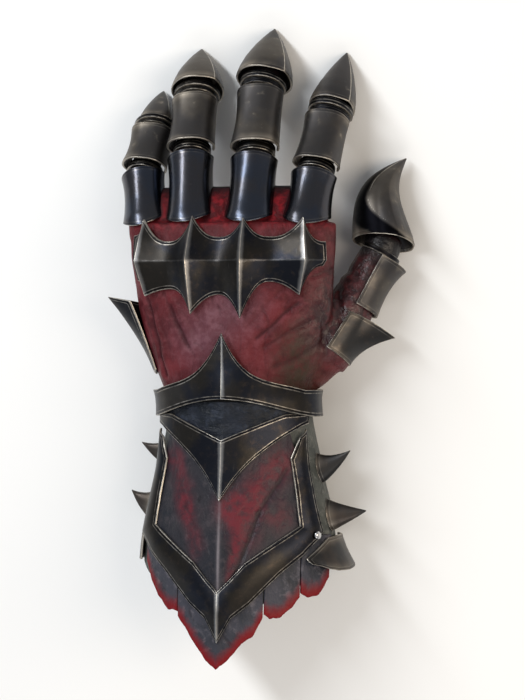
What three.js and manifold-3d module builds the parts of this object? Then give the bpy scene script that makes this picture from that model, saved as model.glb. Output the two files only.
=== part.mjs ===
// Armoured gauntlet for the left hand: blackened steel plates on a red leather glove and a leather cuff.
// It lies palm down. Millimetres, X to the thumb side, Y along the fingers, Z up, origin under its middle.
import * as THREE from "three";
import { mergeVertices } from "three/addons/utils/BufferGeometryUtils.js";
import Module from "manifold-3d";

const wasm = await Module();
wasm.setup();

// Driving sizes
const SKIRT_LENGTH = 62;
const FOREARM_LENGTH = 96;
const HAND_LENGTH = 104;
const CUFF_WIDTH = 117.5;
const CUFF_HEIGHT = 88;
const WRIST_WIDTH = 90;
const WRIST_HEIGHT = 66;
const PALM_WIDTH = 124;
const PALM_THICKNESS = 42;
const KNUCKLE_HEIGHT = 55;
const FINGER_LENGTH = 134;
const FINGER_WIDTH = 25.2;
const THUMB_LENGTH = 146;
const THUMB_WIDTH = 25;
const LEATHER_WALL = 2;
const STEEL_WALL = 1.5;
const RING_WALL = 1.2;
const GAP = 0.35;
const BAND_WIDTH = 16;
const BAND_SPIKE = 34;
const FRAME_REACH = 52.5;
const SKIRT_REACH = 56.5;
const FRAME_CROWN = 1.1;
const CHEVRON_NOTCH = 15;
const CHEVRON_DEPTH = 36;
const KNUCKLE_RIDGE = 8;
const KNUCKLE_PLATE_LENGTH = 58;
const KNUCKLE_PLATE_OVERHANG = 4.6;
const BASE_PLATE_TUCK = 8;
const THORN_LENGTH = 21;
const FIN_REACH = 17;
const THUMB_THORN = 17;
const FLARE_REACH = 6;
const RIVET_DIAMETER = 5;
const RIVET_HEIGHT = 1.8;

// Stations along the arm, from the tip of the skirt to the roots of the fingers
const CUFF_REAR = SKIRT_LENGTH;
const WRIST = CUFF_REAR + FOREARM_LENGTH;
const KNUCKLES = WRIST + HAND_LENGTH;

// Sections of the arm: place along it, half width, height of the middle, reach up and reach down from
// there, how sharp the ridge is, and how far the middle is shifted to the thumb side. Rows are shares of
// the sizes of the cuff, the wrist and the hand.
const CUFF_ROWS = [
  { y: 0, wide: 0.54, mid: 0.49, up: 0.535, down: 0.53, roof: 0.27, shift: 0 },
  { y: 1, wide: 0.505, mid: 0.49, up: 0.51, down: 0.52, roof: 0.27, shift: 0 },
  { y: 1.3, wide: 0.475, mid: 0.49, up: 0.48, down: 0.52, roof: 0.27, shift: 0 },
  { y: 1.62, wide: 0.415, mid: 0.49, up: 0.43, down: 0.5, roof: 0.26, shift: 0 },
].map((row) => ({
  ...row,
  y: row.y < 1 ? row.y * SKIRT_LENGTH : SKIRT_LENGTH + (row.y - 1) * FOREARM_LENGTH,
  wide: row.wide * CUFF_WIDTH,
  mid: row.mid * CUFF_HEIGHT,
  up: row.up * CUFF_HEIGHT,
  down: row.down * CUFF_HEIGHT,
}));
const WRIST_ROW = {
  y: WRIST,
  wide: 0.49 * WRIST_WIDTH,
  mid: 0.7 * WRIST_HEIGHT,
  up: 0.49 * WRIST_HEIGHT,
  down: 0.5 * WRIST_HEIGHT,
  roof: 0.2,
  shift: 0,
};
const HAND_ROWS = [
  { y: 0.22, wide: 0.415, mid: 0.89, up: 0.66, down: 0.6, roof: 0.08, shift: 0 },
  { y: 0.5, wide: 0.475, mid: 0.94, up: 0.58, down: 0.52, roof: 0, shift: 0 },
  { y: 0.78, wide: 0.505, mid: 0.98, up: 0.5, down: 0.48, roof: 0, shift: -1 },
  { y: 1, wide: 0.515, mid: 1, up: 0.37, down: 0.42, roof: 0, shift: -1 },
].map((row) => ({
  ...row,
  y: WRIST + row.y * HAND_LENGTH,
  wide: row.wide * PALM_WIDTH,
  mid: row.mid * KNUCKLE_HEIGHT,
  up: row.up * PALM_THICKNESS,
  down: row.down * PALM_THICKNESS,
}));
const ARM = [...CUFF_ROWS, WRIST_ROW, ...HAND_ROWS];

// Fingers. root is the place across the palm, rise the height over the knuckles, girth and the bones are
// shares of the finger sizes, and claw is the width of its base.
const FINGERS = [
  { name: "pinky", root: -0.45, rise: -5, girth: 0.9, bones: [0.248, 0.246, 0.234], claw: 1.02 },
  { name: "ring", root: -0.212, rise: 0.5, girth: 0.98, bones: [0.324, 0.313, 0.283], claw: 1.34 },
  { name: "middle", root: 0.085, rise: 2.5, girth: 1, bones: [0.3075, 0.359, 0.331], claw: 1.4 },
  { name: "index", root: 0.357, rise: -1.5, girth: 0.95, bones: [0.23, 0.31, 0.343], claw: 1.2 },
];

// How far each bone points down and to the thumb side, and the sleeve's width at each joint
const FINGER_DROOP = {
  pinky: [22, 31, 35],
  ring: [19.5, 28, 32.5],
  middle: [19, 26, 29.5],
  index: [21, 28, 29],
};
const FINGER_LEAN = {
  pinky: [-11, 4, 0],
  ring: [-6, -3.5, -5],
  middle: [-0.5, -1.5, 3],
  index: [5, 6.5, 8],
};
const SLEEVE_TAPER = [1, 0.82, 0.73, 0.64];
const SLEEVE_DOME = 4;
const SLEEVE_TIP = 0.55;

// Lifts over the leather: lames and the plates at the roots lie next to it, other plates over the lames
const SEATED_LIFT = GAP + STEEL_WALL;
const LAME_LIFT = GAP + RING_WALL;
const PLATE_LIFT = LAME_LIFT + GAP + STEEL_WALL;
const TIP_RING_LIFT = 2;

const STEEL = { color: 0x2b2c30, roughness: 0.38, metalness: 1 };
const WORN_STEEL = { color: 0x4a4844, roughness: 0.55, metalness: 1 };
const POLISHED_STEEL = { color: 0x33373f, roughness: 0.24, metalness: 1 };
const RED_LEATHER = { color: 0x7a2c37, roughness: 0.6, metalness: 0 };
const DARK_LEATHER = { color: 0x2a2226, roughness: 0.5, metalness: 0 };
const NAVY_LEATHER = { color: 0x171c28, roughness: 0.5, metalness: 0 };
const SLATE_LEATHER = { color: 0x3a3c45, roughness: 0.6, metalness: 0 };
const CUFF_LEATHER = { color: 0x50544f, roughness: 0.7, metalness: 0 };
const SILVER = { color: 0xc8c8cc, roughness: 0.25, metalness: 1 };

const gauntlet = new THREE.Group();
const radians = THREE.MathUtils.degToRad;
const { lerp, clamp } = THREE.MathUtils;

function steps(from, to, count) {
  return Array.from({ length: count + 1 }, (_, i) => lerp(from, to, i / count));
}

function add(name, geometry, finish) {
  const mesh = new THREE.Mesh(geometry, new THREE.MeshStandardMaterial(finish));
  mesh.name = name;
  gauntlet.add(mesh);
}

// Smooth curve through one column of a table with rows in order of y
function column(rows, key, y) {
  let i = 0;
  while (i < rows.length - 2 && y > rows[i + 1].y) i += 1;
  const a = rows[i];
  const b = rows[i + 1];
  const before = rows[Math.max(i - 1, 0)];
  const after = rows[Math.min(i + 2, rows.length - 1)];
  const span = b.y - a.y;
  const t = clamp((y - a.y) / span, 0, 1);
  const leaving = (span * (b[key] - before[key])) / (b.y - before.y);
  const arriving = (span * (after[key] - a[key])) / (after.y - a.y);
  const ease = t * t * (3 - 2 * t);
  return lerp(a[key], b[key], ease) + leaving * t * (1 - t) ** 2 - arriving * t * t * (1 - t);
}

// Straight lines through [x, y] points in order of x
function line(points, x) {
  let i = 0;
  while (i < points.length - 2 && x > points[i + 1][0]) i += 1;
  const [x0, y0] = points[i];
  const [x1, y1] = points[i + 1];
  return lerp(y0, y1, clamp((x - x0) / (x1 - x0), 0, 1));
}

// Point over the arm: angle from the top towards the thumb side, place along it, lift off the leather
function armPoint(angle, y, lift) {
  const across = Math.sin(angle);
  const up = Math.cos(angle);
  const roof = column(ARM, "roof", y);
  const x = column(ARM, "shift", y) + (column(ARM, "wide", y) + lift) * across;
  const mid = column(ARM, "mid", y);
  if (up >= 0) {
    const height = (column(ARM, "up", y) + lift) * lerp(up, 1 - Math.abs(across), roof);
    return new THREE.Vector3(x, y, mid + height);
  }
  const depth = (column(ARM, "down", y) + lift) * (-up) ** 0.85;
  return new THREE.Vector3(x, y, Math.max(mid - depth, -lift));
}

// The same point found from above, for plates whose outline is known in plan
function overArm(x, y, lift) {
  const across = (x - column(ARM, "shift", y)) / column(ARM, "wide", y);
  return armPoint(Math.asin(clamp(across, -1, 1)), y, lift);
}

function meshFrom(points, triangles) {
  const position = new Float32Array(points.flatMap((point) => [point.x, point.y, point.z]));
  const geometry = new THREE.BufferGeometry();
  geometry.setAttribute("position", new THREE.BufferAttribute(position, 3));
  let volume = 0;
  for (const [a, b, c] of triangles) {
    volume += points[a].dot(new THREE.Vector3().crossVectors(points[b], points[c]));
  }
  const outward = volume > 0 ? triangles : triangles.map(([a, b, c]) => [a, c, b]);
  geometry.setIndex(outward.flat());
  return geometry;
}

// Two triangles for each cell between neighbouring rows of points
function skin(at, columns, rows, inside) {
  const triangles = [];
  for (let j = 0; j < rows; j += 1) {
    for (let i = 0; i < columns; i += 1) {
      const [a, b, c, d] = [at(i, j), at(i + 1, j), at(i + 1, j + 1), at(i, j + 1)];
      triangles.push(...(inside ? [[a, c, b], [a, d, c]] : [[a, b, c], [a, c, d]]));
    }
  }
  return triangles;
}

// Closed wall between an outer skin (side 0) and an inner one (side 1), open at its edges or looped round
function wall(across, along, place, looped = false) {
  const width = across.length;
  const points = [0, 1].flatMap((side) => along.flatMap((v) => across.map((u) => place(u, v, side))));
  const at = (side) => (i, j) => (side * along.length + j) * width + (i % width);
  const columns = looped ? width : width - 1;
  const rows = along.length - 1;
  const triangles = [...skin(at(0), columns, rows, false), ...skin(at(1), columns, rows, true)];
  const edge = (j) => (i, side) => at(side)(i, j);
  triangles.push(...skin(edge(0), columns, 1, true), ...skin(edge(rows), columns, 1, false));
  if (!looped) {
    const end = (i) => (j, side) => at(side)(i, j);
    triangles.push(...skin(end(0), rows, 1, false), ...skin(end(columns), rows, 1, true));
  }
  return meshFrom(points, triangles);
}

// Solid through rings of equally many points, closed by a point at each end
function loft(rings) {
  const count = rings[0].length;
  const sumOf = (ring) => ring.reduce((sum, point) => sum.add(point), new THREE.Vector3());
  const middle = (ring) => sumOf(ring).divideScalar(count);
  const last = rings.length - 1;
  const points = [...rings.flat(), middle(rings[0]), middle(rings[last])];
  const at = (i, j) => j * count + (i % count);
  const triangles = skin(at, count, last, false);
  for (let i = 0; i < count; i += 1) {
    triangles.push([at(i + 1, 0), at(i, 0), rings.length * count]);
    triangles.push([at(i, last), at(i + 1, last), rings.length * count + 1]);
  }
  return meshFrom(points, triangles);
}

// Hollow cup: outer and inner rings both run from the open rim to a closed end
function cup(outer, inner) {
  return loft([...[...inner].reverse(), ...outer]);
}

function solid(geometry) {
  const bare = mergeVertices(geometry);
  const vertProperties = new Float32Array(bare.attributes.position.array);
  const triVerts = new Uint32Array(bare.index.array);
  return new wasm.Manifold(new wasm.Mesh({ numProp: 3, vertProperties, triVerts }));
}

function fromSolid(body) {
  const mesh = body.getMesh();
  const geometry = new THREE.BufferGeometry();
  geometry.setAttribute("position", new THREE.BufferAttribute(new Float32Array(mesh.vertProperties), 3));
  geometry.setIndex(Array.from(mesh.triVerts));
  return geometry;
}

// Digits: a chain of joints with a frame for each bone
function makeDigit({ start, bones, droop, lean, roll, ...sizes }) {
  const joints = [start.clone()];
  const frames = bones.map((length, i) => {
    const down = radians(droop[i]);
    const aside = radians(lean[i]);
    const level = Math.cos(down);
    const ahead = new THREE.Vector3(Math.sin(aside) * level, Math.cos(aside) * level, -Math.sin(down));
    const upright = new THREE.Vector3(0, 0, 1).applyAxisAngle(new THREE.Vector3(0, 1, 0), radians(roll[i]));
    const side = new THREE.Vector3().crossVectors(ahead, upright).normalize();
    const normal = new THREE.Vector3().crossVectors(side, ahead);
    joints.push(joints[i].clone().addScaledVector(ahead, length));
    return { ahead, side, normal, length };
  });
  return { joints, frames, ...sizes };
}

// Half width of the leather sleeve at a share of a bone
function sleeveRadius(digit, bone, share) {
  return digit.halfWidth * lerp(digit.taper[bone], digit.taper[bone + 1], share);
}

// Point round a bone. reach is measured from the bone's middle line, angle from its back.
function bonePoint(digit, bone, share, angle, reach, aside = 0) {
  const { ahead, side, normal, length } = digit.frames[bone];
  return digit.joints[bone]
    .clone()
    .addScaledVector(ahead, share * length)
    .addScaledVector(side, reach * Math.sin(angle) + aside)
    .addScaledVector(normal, reach * Math.cos(angle));
}

const ROUND = 14;
const MAX_TURN = radians(9.5);
const CLAW_TILT_ANGLE = radians(52);
const CLAW_CREASE_ANGLE = (2 * 2 * Math.PI) / ROUND;
const FULL_TURN = steps(0, 2 * Math.PI, ROUND).slice(0, -1);

// Ring of a sleeve, turned halfway between the bones where two of them meet
function sleeveRing(digit, bone, share, inset) {
  const reach = sleeveRadius(digit, bone, share) - inset;
  return FULL_TURN.map((angle) => {
    const point = bonePoint(digit, bone, share, angle, reach);
    if (share > 0 || bone === 0) return point;
    const end = bonePoint(digit, bone - 1, 1, angle, reach);
    return point.lerp(end, 0.5);
  });
}

// Leather sleeve of a finger, from the front of the hand into its claw
function sleeve(digit, stations, mouth = []) {
  const rings = (inset) => {
    const upright = mouth.map((centre) => {
      return FULL_TURN.map((angle) => {
        const reach = sleeveRadius(digit, 0, 0) - inset;
        return new THREE.Vector3(Math.sin(angle), 0, Math.cos(angle)).multiplyScalar(reach).add(centre);
      });
    });
    const places = [...stations, [2, digit.sleeveEnd]];
    const body = places.map(([bone, share]) => sleeveRing(digit, bone, share, inset));
    const end = digit.sleeveEnd + (SLEEVE_DOME - inset) / digit.frames[2].length;
    const endReach = SLEEVE_TIP * (sleeveRadius(digit, 2, digit.sleeveEnd) - inset);
    const tip = FULL_TURN.map((angle) => bonePoint(digit, 2, end, angle, endReach));
    return [...upright, ...body, tip];
  };
  return cup(rings(0), rings(LEATHER_WALL));
}

// Curved plate over a bone. Angles run round it from the little-finger side, bow moves the middle of an
// edge and flare widens it there.
function bonePlate(digit, plate) {
  const { bone, from, to, angles, lift, thick, startPoint = 1 } = plate;
  const { startBow = 0, endBow = 0, startFlare = 0, endFlare = 0 } = plate;
  const reachOf = plate.reachOf ?? (() => 1);
  const widest = Math.max(...angles.map(Math.abs));
  const place = (angle, v, side) => {
    const middle = Math.cos((0.5 * Math.PI * angle) / widest);
    const start = from + startBow * middle ** startPoint;
    const end = to + endBow * middle;
    const share = lerp(start, end, v);
    const flare = startFlare * (1 - v) ** 3 + endFlare * v ** 3;
    const reach = (sleeveRadius(digit, bone, clamp(share, 0, 1)) + lift + flare) * reachOf(angle);
    return bonePoint(digit, bone, share, angle, reach - side * thick);
  };
  return wall(angles, steps(0, 1, plate.rows ?? 3), place);
}

// Middle plates have a flat front panel with a crease at each side of it
const FACET_ANGLES = [-104, -74, -42, 0, 42, 74, 104].map(radians);
const FACET_REACH = [1.0, 1.03, 1.13, 0.96, 1.13, 1.03, 1.0];
const facetReach = (angle) => FACET_REACH[FACET_ANGLES.indexOf(angle)];

// Outline of a claw: place of each ring along it, and its width as a share of the base
const CLAW_RINGS = [
  { at: 0, wide: 1 },
  { at: 0.16, wide: 0.94 },
  { at: 0.36, wide: 0.8 },
  { at: 0.57, wide: 0.6 },
  { at: 0.76, wide: 0.38 },
  { at: 0.91, wide: 0.17 },
  { at: 1, wide: 0.03 },
];

// Pointed claw with a crease down it, hollow for the fingertip in its sleeve. Its rim bows over the back
// and is tilted towards the thumb side.
function claw(digit, { from, bow, tilt, creaseAt }) {
  const base = digit.claw * digit.halfWidth;
  const length = digit.frames[2].length;
  const apart = (angle, other) => Math.acos(Math.cos(angle - other));
  const crease = (angle) => 1 + 0.1 * Math.max(0, 1 - apart(angle, creaseAt) / 0.5);
  const rim = (angle, at) => {
    const reach = bow * Math.max(0, Math.cos(angle)) + tilt * Math.cos(angle - CLAW_TILT_ANGLE);
    return (reach / length) * (1 - at) ** 2;
  };
  const outer = CLAW_RINGS.map(({ at, wide }) => {
    const aside = -digit.hook * Math.sin(Math.PI * at ** 1.2);
    return FULL_TURN.map((angle) => {
      const share = lerp(from, 1, at) + rim(angle, at);
      return bonePoint(digit, 2, share, angle, base * wide * crease(angle), aside);
    });
  });
  const inner = [0, 0.5, 1].map((at) => {
    const share = lerp(from, digit.sleeveEnd, at);
    const reach = sleeveRadius(digit, 2, share) + GAP;
    return FULL_TURN.map((angle) => bonePoint(digit, 2, share + rim(angle, at), angle, reach));
  });
  const end = digit.sleeveEnd + (SLEEVE_DOME + 2 * GAP) / length;
  const endReach = SLEEVE_TIP * sleeveRadius(digit, 2, digit.sleeveEnd) + 2 * GAP;
  inner.push(FULL_TURN.map((angle) => bonePoint(digit, 2, end, angle, endReach)));
  return cup(outer, inner);
}

function buildFinger(row) {
  const rootX = row.root * PALM_WIDTH;
  const digit = makeDigit({
    start: new THREE.Vector3(rootX, KNUCKLES + LEATHER_WALL + GAP, KNUCKLE_HEIGHT + row.rise),
    bones: row.bones.map((share) => share * FINGER_LENGTH),
    droop: FINGER_DROOP[row.name],
    lean: FINGER_LEAN[row.name],
    roll: [0, 0, 0],
    halfWidth: 0.5 * FINGER_WIDTH * row.girth,
    taper: SLEEVE_TAPER,
    claw: row.claw,
    hook: 0,
    sleeveEnd: 0.36,
  });
  const stations = [[0, 0.15], [1, 0], [2, 0]];
  add(`glove_${row.name}`, sleeve(digit, stations, [digit.joints[0]]), RED_LEATHER);
  const rounded = steps(radians(-112), radians(112), 12);
  const base = { bone: 0, from: 0.1, to: 0.92, angles: rounded, lift: SEATED_LIFT, thick: STEEL_WALL };
  const tucked = { startBow: -BASE_PLATE_TUCK / digit.frames[0].length, startPoint: 6, startFlare: 1.5 };
  const basePlate = bonePlate(digit, { ...base, ...tucked, endBow: 0.06, endFlare: 2.7, rows: 3 });
  add(`${row.name}_base_plate`, basePlate, POLISHED_STEEL);
  const lame = { angles: steps(radians(-112), radians(112), 8), lift: LAME_LIFT, thick: RING_WALL, rows: 1 };
  add(`${row.name}_joint_ring`, bonePlate(digit, { ...lame, bone: 1, from: 0.01, to: 0.16 }), STEEL);
  const middle = { bone: 1, from: 0.1, to: 0.88, angles: FACET_ANGLES, reachOf: facetReach };
  const flared = { lift: PLATE_LIFT, thick: STEEL_WALL, startFlare: 1.8, endFlare: 1.9, endBow: 0.03 };
  add(`${row.name}_middle_plate`, bonePlate(digit, { ...middle, ...flared, rows: 4 }), WORN_STEEL);
  const tipLift = LAME_LIFT + TIP_RING_LIFT;
  const tipRing = { ...lame, bone: 2, lift: tipLift, thick: RING_WALL + 0.5 * TIP_RING_LIFT };
  add(`${row.name}_tip_ring_1`, bonePlate(digit, { ...tipRing, from: -0.07, to: 0.01 }), STEEL);
  add(`${row.name}_tip_ring_2`, bonePlate(digit, { ...tipRing, from: 0.02, to: 0.1 }), STEEL);
  const clawShape = { from: 0.125, bow: 0, tilt: 0, creaseAt: CLAW_CREASE_ANGLE };
  add(`${row.name}_claw`, claw(digit, clawShape), WORN_STEEL);
  return digit;
}

const fingers = FINGERS.map(buildFinger);

// Thumb: a root that swells out of the palm, a middle bone and a hooked claw
const thumb = makeDigit({
  start: new THREE.Vector3(0.36 * PALM_WIDTH, WRIST + 0.2 * HAND_LENGTH, 0.72 * KNUCKLE_HEIGHT),
  bones: [0.29 * THUMB_LENGTH, 0.27 * THUMB_LENGTH, 0.4 * THUMB_LENGTH],
  droop: [14, 13, 14],
  lean: [31, 26, 12],
  roll: [38, 38, 34],
  halfWidth: 0.5 * THUMB_WIDTH,
  taper: [1.45, 1.16, 0.9, 0.76],
  claw: 1.52,
  hook: 0.07 * THUMB_LENGTH,
  sleeveEnd: 0.12,
});
const THUMB_SEAM = 0.86;

// How the root of the thumb swells out of the palm: place along its bone, and reach as a share of its
// half width
const THUMB_ROOT = [
  { share: -0.55, reach: 0.4 },
  { share: -0.15, reach: 0.98 },
  { share: 0.3, reach: lerp(thumb.taper[0], thumb.taper[1], 0.3) },
  { share: THUMB_SEAM, reach: lerp(thumb.taper[0], thumb.taper[1], THUMB_SEAM) },
];

// Point on the edge of a plate drawn out into a thorn at one angle and end
function thornReach(angle, v, { angleAt, spread, end, length }) {
  const near = Math.max(0, 1 - Math.abs(angle - angleAt) / spread);
  const far = end === 1 ? v : 1 - v;
  return length * near ** 1.6 * far ** 1.8;
}

function buildThumb() {
  const stations = [[0, THUMB_SEAM + GAP / thumb.frames[0].length], [1, 0], [2, 0]];
  add("glove_thumb", sleeve(thumb, stations), DARK_LEATHER);
  const lame = { angles: steps(radians(-80), radians(112), 8), lift: LAME_LIFT, thick: RING_WALL, rows: 1 };
  add("thumb_ring", bonePlate(thumb, { ...lame, bone: 1, from: 0.84, to: 0.92 }), STEEL);
  const middle = { bone: 1, from: 0.03, to: 0.81, angles: steps(radians(-16), radians(116), 8), rows: 4 };
  const waist = { lift: SEATED_LIFT, thick: STEEL_WALL, startFlare: 0.8, endFlare: 6 };
  add("thumb_middle_plate", bonePlate(thumb, { ...middle, ...waist }), WORN_STEEL);
  add("thumb_base_plate", thumbBasePlate(), STEEL);
  add("thumb_claw", claw(thumb, { from: 0.06, bow: 1.5, tilt: 2.2, creaseAt: 0 }), WORN_STEEL);
}

function thumbBasePlate() {
  const thorn = { angleAt: radians(62), spread: radians(46), end: 1, length: THUMB_THORN };
  const place = (angle, v, side) => {
    const share = lerp(0.28, 0.88, v) + 0.08 * Math.cos(angle - thorn.angleAt) * v;
    const out = thornReach(angle, v, thorn);
    const reach = sleeveRadius(thumb, 0, share) + SEATED_LIFT - side * STEEL_WALL + out;
    return bonePoint(thumb, 0, share, angle, reach);
  };
  return wall(steps(radians(-18), radians(116), 11), steps(0, 1, 5), place);
}

buildThumb();

// Hand of the glove: back, palm and the root of the thumb, open to the wrist and to each digit
function gloveHand() {
  const turn = steps(0, 2 * Math.PI, 24).slice(0, -1);
  const stations = (from, to) => steps(from, to, 6);
  const handRing = (y, lift) => turn.map((angle) => armPoint(angle, y, lift));
  const handRings = (from, to, lift) => stations(from, to).map((y) => handRing(y, lift));
  const rootRings = (inset, past) =>
    THUMB_ROOT.map(({ share, reach }, i) => {
      const place = share + (i === THUMB_ROOT.length - 1 ? past : 0);
      return FULL_TURN.map((angle) => bonePoint(thumb, 0, place, angle, reach * thumb.halfWidth - inset));
    });
  const front = KNUCKLES + LEATHER_WALL;
  const outside = solid(loft(handRings(WRIST + GAP, front, 0))).add(solid(loft(rootRings(0, 0))));
  const inside = solid(loft(handRings(WRIST - 10, KNUCKLES, -LEATHER_WALL)))
    .add(solid(loft(rootRings(LEATHER_WALL, 0.05))));
  let hand = outside.subtract(inside);
  for (const digit of fingers) {
    const bore = new THREE.CylinderGeometry(1, 1, 12, ROUND);
    const radius = sleeveRadius(digit, 0, 0) - LEATHER_WALL;
    bore.scale(radius, 1, radius);
    bore.translate(digit.joints[0].x, front, digit.joints[0].z);
    bore.deleteAttribute("normal");
    bore.deleteAttribute("uv");
    hand = hand.subtract(solid(bore));
  }
  return fromSolid(hand);
}

add("glove_hand", gloveHand(), RED_LEATHER);

// Knuckle plate: four upright creases crossed by one, a scalloped lower edge and pointed ends
const KNUCKLE_PEAKS = [
  { x: -0.375, top: 0.99, bottom: 0.2 },
  { x: -0.147, top: 1.02, bottom: 0.01 },
  { x: 0.079, top: 1, bottom: -0.04 },
  { x: 0.332, top: 1, bottom: 0.2 },
];
const KNUCKLE_VALLEYS = [
  { x: -0.45, top: 0.8, bottom: 0.36 },
  { x: -0.268, top: 0.72, bottom: 0.27 },
  { x: -0.025, top: 0.76, bottom: 0.21 },
  { x: 0.21, top: 0.76, bottom: 0.34 },
  { x: 0.4475, top: 0.72, bottom: 0.5 },
];
const KNUCKLE_CREASE = 0.56;
const KNUCKLE_CROWN = 3;
const KNUCKLE_DROOP = 0.2;

// Column between a valley and a peak. rise is 1 at the peak, and the edges sweep up to it.
function knuckleColumn(valley, peak, rise) {
  const sweep = rise ** 2.2;
  return {
    x: lerp(valley.x, peak.x, rise),
    rise,
    top: lerp(valley.top, peak.top, sweep),
    bottom: lerp(valley.bottom, peak.bottom, sweep),
  };
}

function knucklePlate() {
  const rises = [0.3, 0.6, 0.85];
  const columns = KNUCKLE_PEAKS.flatMap((peak, i) => {
    const [left, right] = [KNUCKLE_VALLEYS[i], KNUCKLE_VALLEYS[i + 1]];
    const up = [0, ...rises, 1].map((rise) => knuckleColumn(left, peak, rise));
    return [...up, ...[...rises].reverse().map((rise) => knuckleColumn(right, peak, rise))];
  });
  columns.push(knuckleColumn(KNUCKLE_VALLEYS.at(-1), KNUCKLE_PEAKS.at(-1), 0));
  const start = KNUCKLES + KNUCKLE_PLATE_OVERHANG - KNUCKLE_PLATE_LENGTH;
  const place = (k, v, side) => {
    const { x, rise, top, bottom } = columns[k];
    const share = v < 0.5 ? lerp(bottom, KNUCKLE_CREASE, v * 2) : lerp(KNUCKLE_CREASE, top, v * 2 - 1);
    const y = start + share * KNUCKLE_PLATE_LENGTH;
    const crown = 1 - Math.abs(2 * v - 1);
    const ahead = Math.max(0, 2 * v - 1);
    const raised = KNUCKLE_CROWN * (crown + 0.8 * ahead) + KNUCKLE_RIDGE * rise ** 1.7 * (0.5 + 0.5 * crown);
    const point = overArm(x * PALM_WIDTH, Math.min(y, KNUCKLES), SEATED_LIFT + raised - side * STEEL_WALL);
    point.y = y;
    point.z -= KNUCKLE_DROOP * Math.max(0, y - KNUCKLES + KNUCKLE_RIDGE);
    return point;
  };
  return wall(columns.map((_, k) => k), [0, 0.25, 0.5, 0.75, 1], place);
}

add("knuckle_plate", knucklePlate(), STEEL);

// Guard on the little-finger edge of the hand, drawn out into a fin
function handFin() {
  const thorn = { angleAt: radians(-86), spread: radians(30), end: 1, length: FIN_REACH };
  const from = WRIST + 0.15 * HAND_LENGTH;
  const to = WRIST + 0.55 * HAND_LENGTH;
  const tipRise = 0.3 * FIN_REACH;
  const place = (angle, v, side) => {
    const near = Math.max(0, 1 - Math.abs(angle - thorn.angleAt) / thorn.spread);
    const y = lerp(from + tipRise * (1 - near), to + tipRise * near, v);
    const lift = SEATED_LIFT + thornReach(angle, v, thorn) - side * STEEL_WALL;
    return armPoint(angle, y, lift);
  };
  return wall(steps(radians(-120), radians(-70), 6), steps(0, 1, 5), place);
}

add("hand_fin", handFin(), STEEL);

// Lifts of the layers on the forearm, from the leather outwards
const LAYER_1 = 1.5 * GAP + LEATHER_WALL;
const LAYER_2 = LAYER_1 + GAP + STEEL_WALL;
const BAND_LIFT = LAYER_2 + 2 * GAP + STEEL_WALL;

// Leather tube of the forearm. Its rear edge runs back under the skirt on top.
function forearmCuff() {
  const turn = steps(0, 2 * Math.PI, 28).slice(0, -1);
  const place = (angle, v, side) => {
    const rear = CUFF_REAR - 0.45 * SKIRT_LENGTH * Math.max(0, Math.cos(angle)) ** 2;
    return armPoint(angle, lerp(rear, WRIST, v), -side * LEATHER_WALL);
  };
  return wall(turn, steps(0, 1, 6), place, true);
}

add("forearm_cuff", forearmCuff(), CUFF_LEATHER);

// Steel band round the wrist, drawn out into a spike over the back of the hand
function wristBand() {
  const turn = [...steps(-180, -50, 8), -38, -27, -18, -10, -4, 0, 4, 10, 18, 27, 38, ...steps(50, 180, 8)];
  const angles = turn.slice(0, -1).map(radians);
  const middle = WRIST - 0.1 * BAND_WIDTH;
  const place = (angle, v, side) => {
    const up = Math.max(0, Math.cos(angle));
    const peak = Math.max(0, 1 - Math.abs(angle) / radians(62));
    const lower = middle - 0.5 * BAND_WIDTH + 0.65 * BAND_WIDTH * up ** 3;
    const upper = middle + 0.5 * BAND_WIDTH + BAND_SPIKE * (0.28 * peak + 0.72 * peak ** 6);
    const lift = BAND_LIFT - side * STEEL_WALL + 1.2 * up * v;
    return armPoint(angle, lerp(lower, upper, v), lift);
  };
  return wall(angles, steps(0, 1, 4), place, true);
}

add("wrist_band", wristBand(), STEEL);

// Plate over the forearm between two edges given in plan as [across, along] points of its right half
function mirroredEdge(points) {
  return (x) => line(points, Math.abs(x));
}

function topPlate(columns, lower, upper, lift, thick, rows) {
  const place = (x, v, side) => overArm(x, lerp(lower(x), upper(x), v), lift - side * thick);
  return wall(columns, steps(0, 1, rows), place);
}

// Columns across the top at the given x and between them, so that no step turns far round the arm
function columnsThrough(xs, y) {
  const wide = column(ARM, "wide", y);
  const turn = (x) => Math.asin(clamp(x / wide, -1, 1));
  const columns = [xs[0]];
  for (const x of xs.slice(1)) {
    const last = columns.at(-1);
    const parts = Math.ceil(Math.abs(turn(x) - turn(last)) / MAX_TURN);
    for (const angle of steps(turn(last), turn(x), parts).slice(1, -1)) columns.push(wide * Math.sin(angle));
    columns.push(x);
  }
  return columns;
}

const bothSides = (halves) => [...halves.map((x) => -x).reverse(), 0, ...halves];

// Chevron under the wrist
const CHEVRON_REACH = 0.94 * 0.5 * WRIST_WIDTH;
const CHEVRON_TOP = WRIST - 0.5 * BAND_WIDTH;
const chevronUpper = mirroredEdge([
  [0, CHEVRON_TOP - CHEVRON_NOTCH],
  [0.75 * CHEVRON_REACH, CHEVRON_TOP],
  [CHEVRON_REACH, CHEVRON_TOP + 0.07 * CHEVRON_NOTCH],
]);
const chevronLower = mirroredEdge([
  [0, CHEVRON_TOP - CHEVRON_NOTCH - CHEVRON_DEPTH],
  [0.16 * CHEVRON_REACH, CHEVRON_TOP - 0.2 * CHEVRON_NOTCH - CHEVRON_DEPTH],
  [0.38 * CHEVRON_REACH, CHEVRON_TOP - 0.75 * CHEVRON_DEPTH],
  [0.66 * CHEVRON_REACH, CHEVRON_TOP - 0.45 * CHEVRON_DEPTH],
  [CHEVRON_REACH, CHEVRON_TOP - 0.33 * CHEVRON_NOTCH],
]);
const chevronXs = bothSides([0.16, 0.38, 0.66, 1].map((share) => share * CHEVRON_REACH));
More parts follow.
